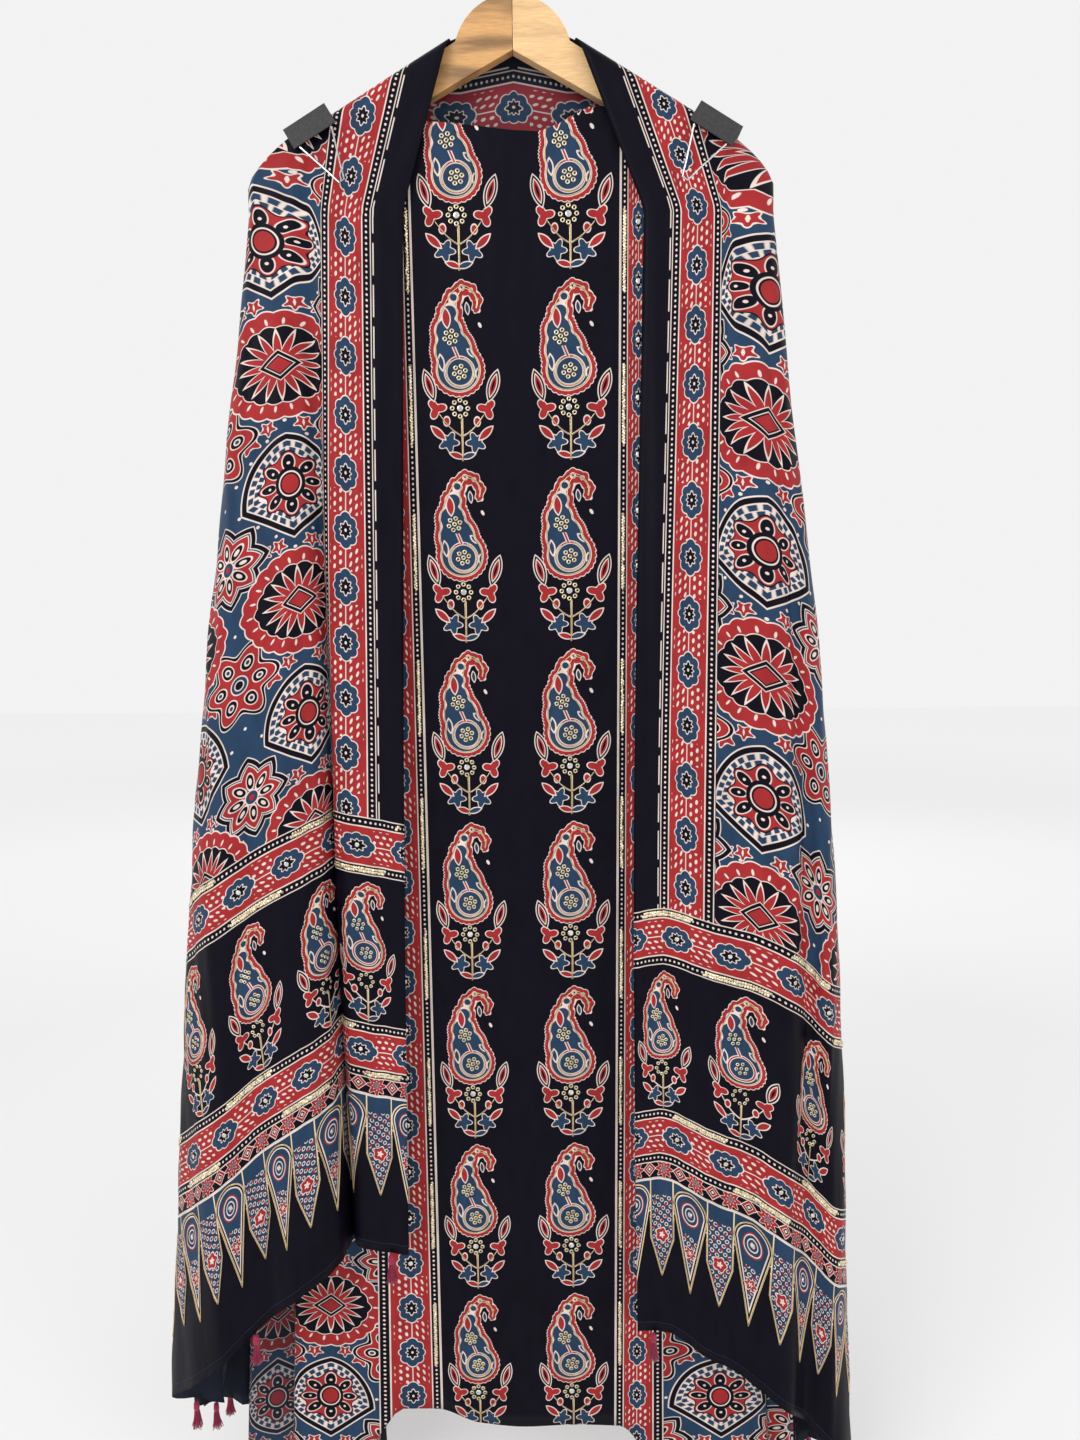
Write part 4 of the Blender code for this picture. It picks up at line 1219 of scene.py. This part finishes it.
def strands(name, node, count, finish, home, seed):
    """A brush of threads: each leaves the bound neck, spreads and ends at its own height.
    A strand is a three-sided tube along p(t) = neck + outward * spread(t) - t * length."""
    rng = np.random.default_rng(seed)
    low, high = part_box(node)
    middle = np.array([(low.x + high.x) / 2, (low.y + high.y) / 2])
    top, length = high.z, high.z - low.z
    a = np.arange(count) * GOLDEN_ANGLE
    reach = np.sqrt((np.arange(count) + 0.5) / count)
    t = np.linspace(0, 1, 9)
    spread = 0.0021 + 0.0034 * np.clip((t - 0.24) / 0.76, 0, 1)**1.3
    wobble = 0.0006 * np.sin(t * 7 + rng.uniform(0, TURN, (count, 1))) * t
    radius = reach[:, None] * spread + wobble
    x = middle[0] + np.cos(a)[:, None] * radius
    y = middle[1] + np.sin(a)[:, None] * radius
    z = top - 0.001 - t * (length - 0.0015) * rng.uniform(0.90, 1.0, (count, 1))
    path = np.stack([x, y, z], -1)
    ring = np.arange(3) * TURN / 3
    thin = 0.00042
    tube = path[:, :, None] + thin * np.stack([np.cos(ring), np.sin(ring), 0 * ring], -1)
    k = np.arange(count * 9 * 3).reshape(count, 9, 3)
    turned = np.roll(k, -1, axis=2)
    quads = np.stack([k[:, 1:], turned[:, 1:], turned[:, :-1], k[:, :-1]], -1).reshape(-1, 4).tolist()
    caps = k[:, 0, :].tolist() + k[:, -1, ::-1].tolist()
    band = circle(0, 0, 1.0, 13)[:-1]
    profile = ((0.0010, 0.0012), (0.0025, 0.0), (0.0028, -0.003), (0.0030, -0.0055), (0.0024, -0.0075),
               (0.0008, -0.0085))
    rings = np.array([[(middle[0] + r * bx, middle[1] + r * by, top - 0.0015 + h) for bx, by in band]
                      for r, h in profile])
    start = count * 27
    m = start + np.arange(len(profile) * 12).reshape(len(profile), 12)
    next_ = np.roll(m, -1, axis=1)
    wrap = np.stack([m[1:], next_[1:], next_[:-1], m[:-1]], -1).reshape(-1, 4).tolist()
    wrap += [m[0].tolist(), m[-1][::-1].tolist()]
    points = np.concatenate([tube.reshape(-1, 3), rings.reshape(-1, 3)])
    return make_mesh(name, points, quads + caps + wrap, {}, None, [finish], home)


# --- Finishes of the trims and the hanger -------------------------------------------------------

def object_place(tree, scale, turn=(0, 0, 0)):
    """Place on an object, turned and stretched."""
    node = tree.nodes.new("ShaderNodeTexCoord")
    return scaled(tree, node.outputs["Object"], scale, turn)


def ramp(tree, value, stops):
    """Colours along a value, from (value, colour) rows."""
    node = tree.nodes.new("ShaderNodeValToRGB")
    tree.links.new(value, node.inputs[0])
    while len(node.color_ramp.elements) < len(stops):
        node.color_ramp.elements.new(0.5)
    for element, (at, colour) in zip(node.color_ramp.elements, stops):
        element.position, element.color = at, (*colour, 1)
    return node.outputs[0]


def board(name, colour, side, dark):
    """Varnished board: long grain down the arm, fine pores and, on the browner half, dark figure."""
    made, tree, shader = new_material(name, 0.38, specular=0.45)
    turn = (0, -side * math.atan(ARM_SLOPE), 0)
    rings = noise(tree, object_place(tree, (9, 60, 70), turn), detail=4.0)
    pores = noise(tree, object_place(tree, (90, 500, 900), turn))
    shares = ((0.30, 0.72 - dark * 0.35), (0.48, 1.0), (0.62, 1.08), (0.75, 0.86))
    base = ramp(tree, rings, [(at, tuple(np.array(colour) * share)) for at, share in shares])
    tree.links.new(toned(tree, base, pores, 0.86, 1.08), shader.inputs["Base Color"])
    shader.inputs["Coat Weight"].default_value = 0.25
    shader.inputs["Coat Roughness"].default_value = 0.25
    bumped(tree, shader, pores, 0.0003, 0.35)
    return made


def mottled(name, surface, colour, grain, shares, relief):
    """A finish whose colour and relief follow one fine noise; surface is its roughness and metal."""
    made, tree, shader = new_material(name, *surface, colour)
    marks = noise(tree, object_place(tree, grain))
    base = ramp(tree, marks, [(at, tuple(np.array(colour) * share)) for at, share in shares])
    tree.links.new(base, shader.inputs["Base Color"])
    bumped(tree, shader, marks, *relief)
    return made


def metal(name, colour, roughness, grain):
    """Bent metal with fine drawing marks."""
    return mottled(name, (roughness, 1.0), colour, (grain, grain, grain), ((0.36, 0.62), (0.60, 1.0)),
                   (0.0001, 0.3))


def enamel(name, colour):
    """Dark baked enamel of the clips, slightly mottled."""
    return mottled(name, (0.32, 0.0), colour, (400, 400, 400), ((0.35, 1.0), (0.7, 1.8)), (0.0001, 0.2))


def thread(name, colour):
    """Matt twisted thread with a little sheen."""
    made = mottled(name, (0.75, 0.0), colour, (900, 900, 120), ((0.3, 0.55), (0.7, 1.25)), (0.0004, 0.5))
    made.node_tree.nodes["Principled BSDF"].inputs["Sheen Weight"].default_value = 0.2
    return made


def home_collection():
    """The collection of all the pieces, made once."""
    name = "ajrakh_cloth_on_hanger"
    found = bpy.data.collections.get(name)
    if found is None:
        found = bpy.data.collections.new(name)
        bpy.context.scene.collection.children.link(found)
    return found


def dyes_of(colours):
    """The print's colours by name."""
    names = ("black", "blue", "red", "cream", "gold")
    return {name: tuple(getattr(colours, name)) for name in names}


SHEETS = {}


class AJRAKH_OT_stage(bpy.types.Operator):
    """Lay the floor and set the lights and the camera"""
    bl_idname = "ajrakh.stage"
    bl_label = "Stage"

    def execute(self, context):
        scene = context.scene
        scene.view_settings.view_transform = "Standard"
        eye = bpy.data.cameras.new("view")
        eye.lens, eye.sensor_width, eye.sensor_fit = 27.03, 36.0, "AUTO"
        camera = bpy.data.objects.new("view", eye)
        scene.collection.objects.link(camera)
        pitch, roll = math.radians(8.40), math.radians(0.41)
        ahead = Vector((0, math.cos(pitch), -math.sin(pitch)))
        down = Vector((0, -math.sin(pitch), -math.cos(pitch)))
        right = Vector((1, 0, 0)) * math.cos(roll) + down * math.sin(roll)
        down = down * math.cos(roll) - Vector((1, 0, 0)) * math.sin(roll)
        turn = Matrix((right, -down, -ahead)).transposed().to_4x4()
        camera.matrix_world = Matrix.Translation((0.019, -0.988, -0.532)) @ turn
        scene.camera = camera

        world = bpy.data.worlds.new("studio")
        scene.world = world
        world.use_nodes = True
        sky = world.node_tree.nodes["Background"]
        sky.inputs["Color"].default_value = (0.89, 0.89, 0.89, 1)
        sky.inputs["Strength"].default_value = 1.0
        span = np.linspace(-1, 1, 9) * 6.0
        x, y = np.meshgrid(span, span, indexing="ij")
        points = np.stack([x, y, 0 * x - 1.500], -1).reshape(-1, 3)
        k = np.arange(81).reshape(9, 9)
        quads = np.stack([k[:-1, :-1], k[1:, :-1], k[1:, 1:], k[:-1, 1:]], -1).reshape(-1, 4).tolist()
        paint, tree, shader = new_material("floor_paint", 0.9, specular=0.0)
        # Painted light and shade: the floor's grey is darker near the hanger, where the lamps light it most,
        # and lighter far off, where their light falls away, so the floor reads evenly bright.
        gap = tree.nodes.new("ShaderNodeVectorMath")
        gap.operation = "LENGTH"
        tree.links.new(object_place(tree, (1 / 6, 1 / 6, 0)), gap.inputs[0])
        falloff_greys = ((0.10, 0.805), (0.26, 0.785), (0.50, 0.90), (0.85, 0.96))
        base = ramp(tree, gap.outputs["Value"], [(at, (grey, grey, grey)) for at, grey in falloff_greys])
        tree.links.new(base, shader.inputs["Base Color"])
        floor = make_mesh("floor", points, quads, {}, None, [paint], scene.collection)
        lamps = (("key", (-1.5, -2.2, 0.7), (0, 0, -0.75), 1.6, 34.0),
                 ("fill", (2.1, -1.7, 0.1), (0, 0, -0.8), 1.8, 12.0),
                 ("back", (0.3, 2.4, 0.6), (0, 0, -0.7), 1.8, 16.0))
        for name, place, target, wide, power in lamps:
            lamp = bpy.data.lights.new(name, "AREA")
            lamp.shape, lamp.size, lamp.energy = "SQUARE", wide, power
            held = bpy.data.objects.new(name, lamp)
            held.location = place
            held.rotation_euler = (Vector(target) - Vector(place)).to_track_quat("-Z", "Y").to_euler()
            scene.collection.objects.link(held)
        return {"FINISHED"}


class AJRAKH_OT_hanger(bpy.types.Operator):
    """Finish the wooden halves, the hook and the clips"""
    bl_idname = "ajrakh.hanger"
    bl_label = "Hanger and clips"

    def execute(self, context):
        colours = context.scene.ajrakh_colours
        steel = metal("bright_steel_wire", (0.74, 0.74, 0.75), 0.24, 700)
        finishes = {"hanger_left_half": board("brown_board", tuple(colours.brown_wood), -1, 0.9),
                    "hanger_right_half": board("pale_board", tuple(colours.pale_wood), 1, 0.1),
                    "hanger_hook": steel}
        black = enamel("black_enamel", (0.018, 0.018, 0.019))
        for side in ("left", "right"):
            finishes[f"clip_{side}"] = black
            for face in ("front", "back"):
                finishes[f"clip_{side}_handle_{face}"] = steel
        for node, finish in finishes.items():
            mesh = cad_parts[node].data
            mesh.materials.clear()
            mesh.materials.append(finish)
        return {"FINISHED"}


class AJRAKH_OT_shawl(bpy.types.Operator):
    """Hang the printed shawl over both arms"""
    bl_idname = "ajrakh.shawl"
    bl_label = "Shawl"

    def execute(self, context):
        scene = context.scene
        dyes = dyes_of(scene.ajrakh_colours)
        finishes = [silk("shawl_field_silk", shawl_main, dyes), silk("shawl_band_silk", shawl_upper, dyes),
                    silk("shawl_end_silk", shawl_lower, dyes),
                    silk("shawl_wrong_side", shawl_main, dyes, painted_shade=True)]
        shawl, SHEETS["shawl"] = build_shawl(home_collection(), scene.ajrakh_sizes, finishes)
        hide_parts("shawl")
        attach(shawl, "root")
        return {"FINISHED"}


class AJRAKH_OT_dress(bpy.types.Operator):
    """Fold the printed dress length over the hanger"""
    bl_idname = "ajrakh.dress"
    bl_label = "Dress length"

    def execute(self, context):
        scene = context.scene
        dyes = dyes_of(scene.ajrakh_colours)
        finishes = [silk("dress_centre_silk", dress_centre, dyes), silk("dress_side_silk", dress_sides, dyes),
                    silk("dress_wrong_side", dress_sides, dyes, painted_shade=True)]
        dress, SHEETS["dress"] = build_dress(home_collection(), scene.ajrakh_sizes, finishes)
        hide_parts("dress_length")
        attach(dress, "root")
        return {"FINISHED"}


class AJRAKH_OT_stitching(bpy.types.Operator):
    bl_idname = "ajrakh.stitching"
    bl_label = "Thread, sequins and mirrors"

    def execute(self, context):
        scene = context.scene
        gold = metal("gold_thread", tuple(scene.ajrakh_colours.gold), 0.34, 1500)
        sequin = metal("sequin_metal", (0.98, 0.85, 0.60), 0.30, 420)
        mirror = metal("mirror_glass", (0.82, 0.80, 0.76), 0.08, 300)
        home, sizes = home_collection(), scene.ajrakh_sizes
        on_dress = stitch_dress(home, sizes, SHEETS["dress"], gold, sequin, mirror)
        on_shawl = stitch_shawl(home, sizes, SHEETS["shawl"], gold, sequin, mirror)
        for made, slot in ((on_dress, "dress_silk"), (on_shawl, "shawl_silk")):
            for piece in made:
                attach(piece, "root")
        return {"FINISHED"}


class AJRAKH_OT_tassels(bpy.types.Operator):
    """Brush out the tassels along the shawl's hems"""
    bl_idname = "ajrakh.tassels"
    bl_label = "Tassels"

    def execute(self, context):
        scene = context.scene
        crimson = thread("crimson_tassel_thread", tuple(scene.ajrakh_colours.tassel))
        seed = 11
        for side in ("left", "right"):
            for number in range(1, 6):
                node = f"tassel_{side}_{number}"
                tuft = strands(f"{node}_threads", node, scene.ajrakh_sizes.tassel_strands, crimson,
                               home_collection(), seed)
                seed += 1
                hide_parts(node)
                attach(tuft, "root")
        return {"FINISHED"}


class AJRAKH_PT_sidebar(bpy.types.Panel):
    """Sizes, colours and steps of the hung ajrakh cloths"""
    bl_idname = "AJRAKH_PT_sidebar"
    bl_label = "Ajrakh Cloth"
    bl_space_type = "VIEW_3D"
    bl_region_type = "UI"
    bl_category = "Ajrakh"

    def draw(self, context):
        layout = self.layout
        for operator in OPERATORS:
            layout.operator(operator.bl_idname)
        for group in (context.scene.ajrakh_sizes, context.scene.ajrakh_colours):
            box = layout.box()
            for name in group.__annotations__:
                box.prop(group, name)


OPERATORS = (AJRAKH_OT_stage, AJRAKH_OT_hanger, AJRAKH_OT_shawl, AJRAKH_OT_dress, AJRAKH_OT_stitching,
             AJRAKH_OT_tassels)
CLASSES = (AjrakhColours, AjrakhSizes, *OPERATORS, AJRAKH_PT_sidebar)


def register():
    for item in CLASSES:
        bpy.utils.register_class(item)
    bpy.types.Scene.ajrakh_colours = PointerProperty(type=AjrakhColours)
    bpy.types.Scene.ajrakh_sizes = PointerProperty(type=AjrakhSizes)


def unregister():
    del bpy.types.Scene.ajrakh_sizes
    del bpy.types.Scene.ajrakh_colours
    for item in reversed(CLASSES):
        bpy.utils.unregister_class(item)


def main():
    register()
    bpy.ops.ajrakh.stage()
    bpy.ops.ajrakh.hanger()
    bpy.ops.ajrakh.shawl()
    bpy.ops.ajrakh.dress()
    bpy.ops.ajrakh.stitching()
    bpy.ops.ajrakh.tassels()


if __name__ == "__main__":
    main()
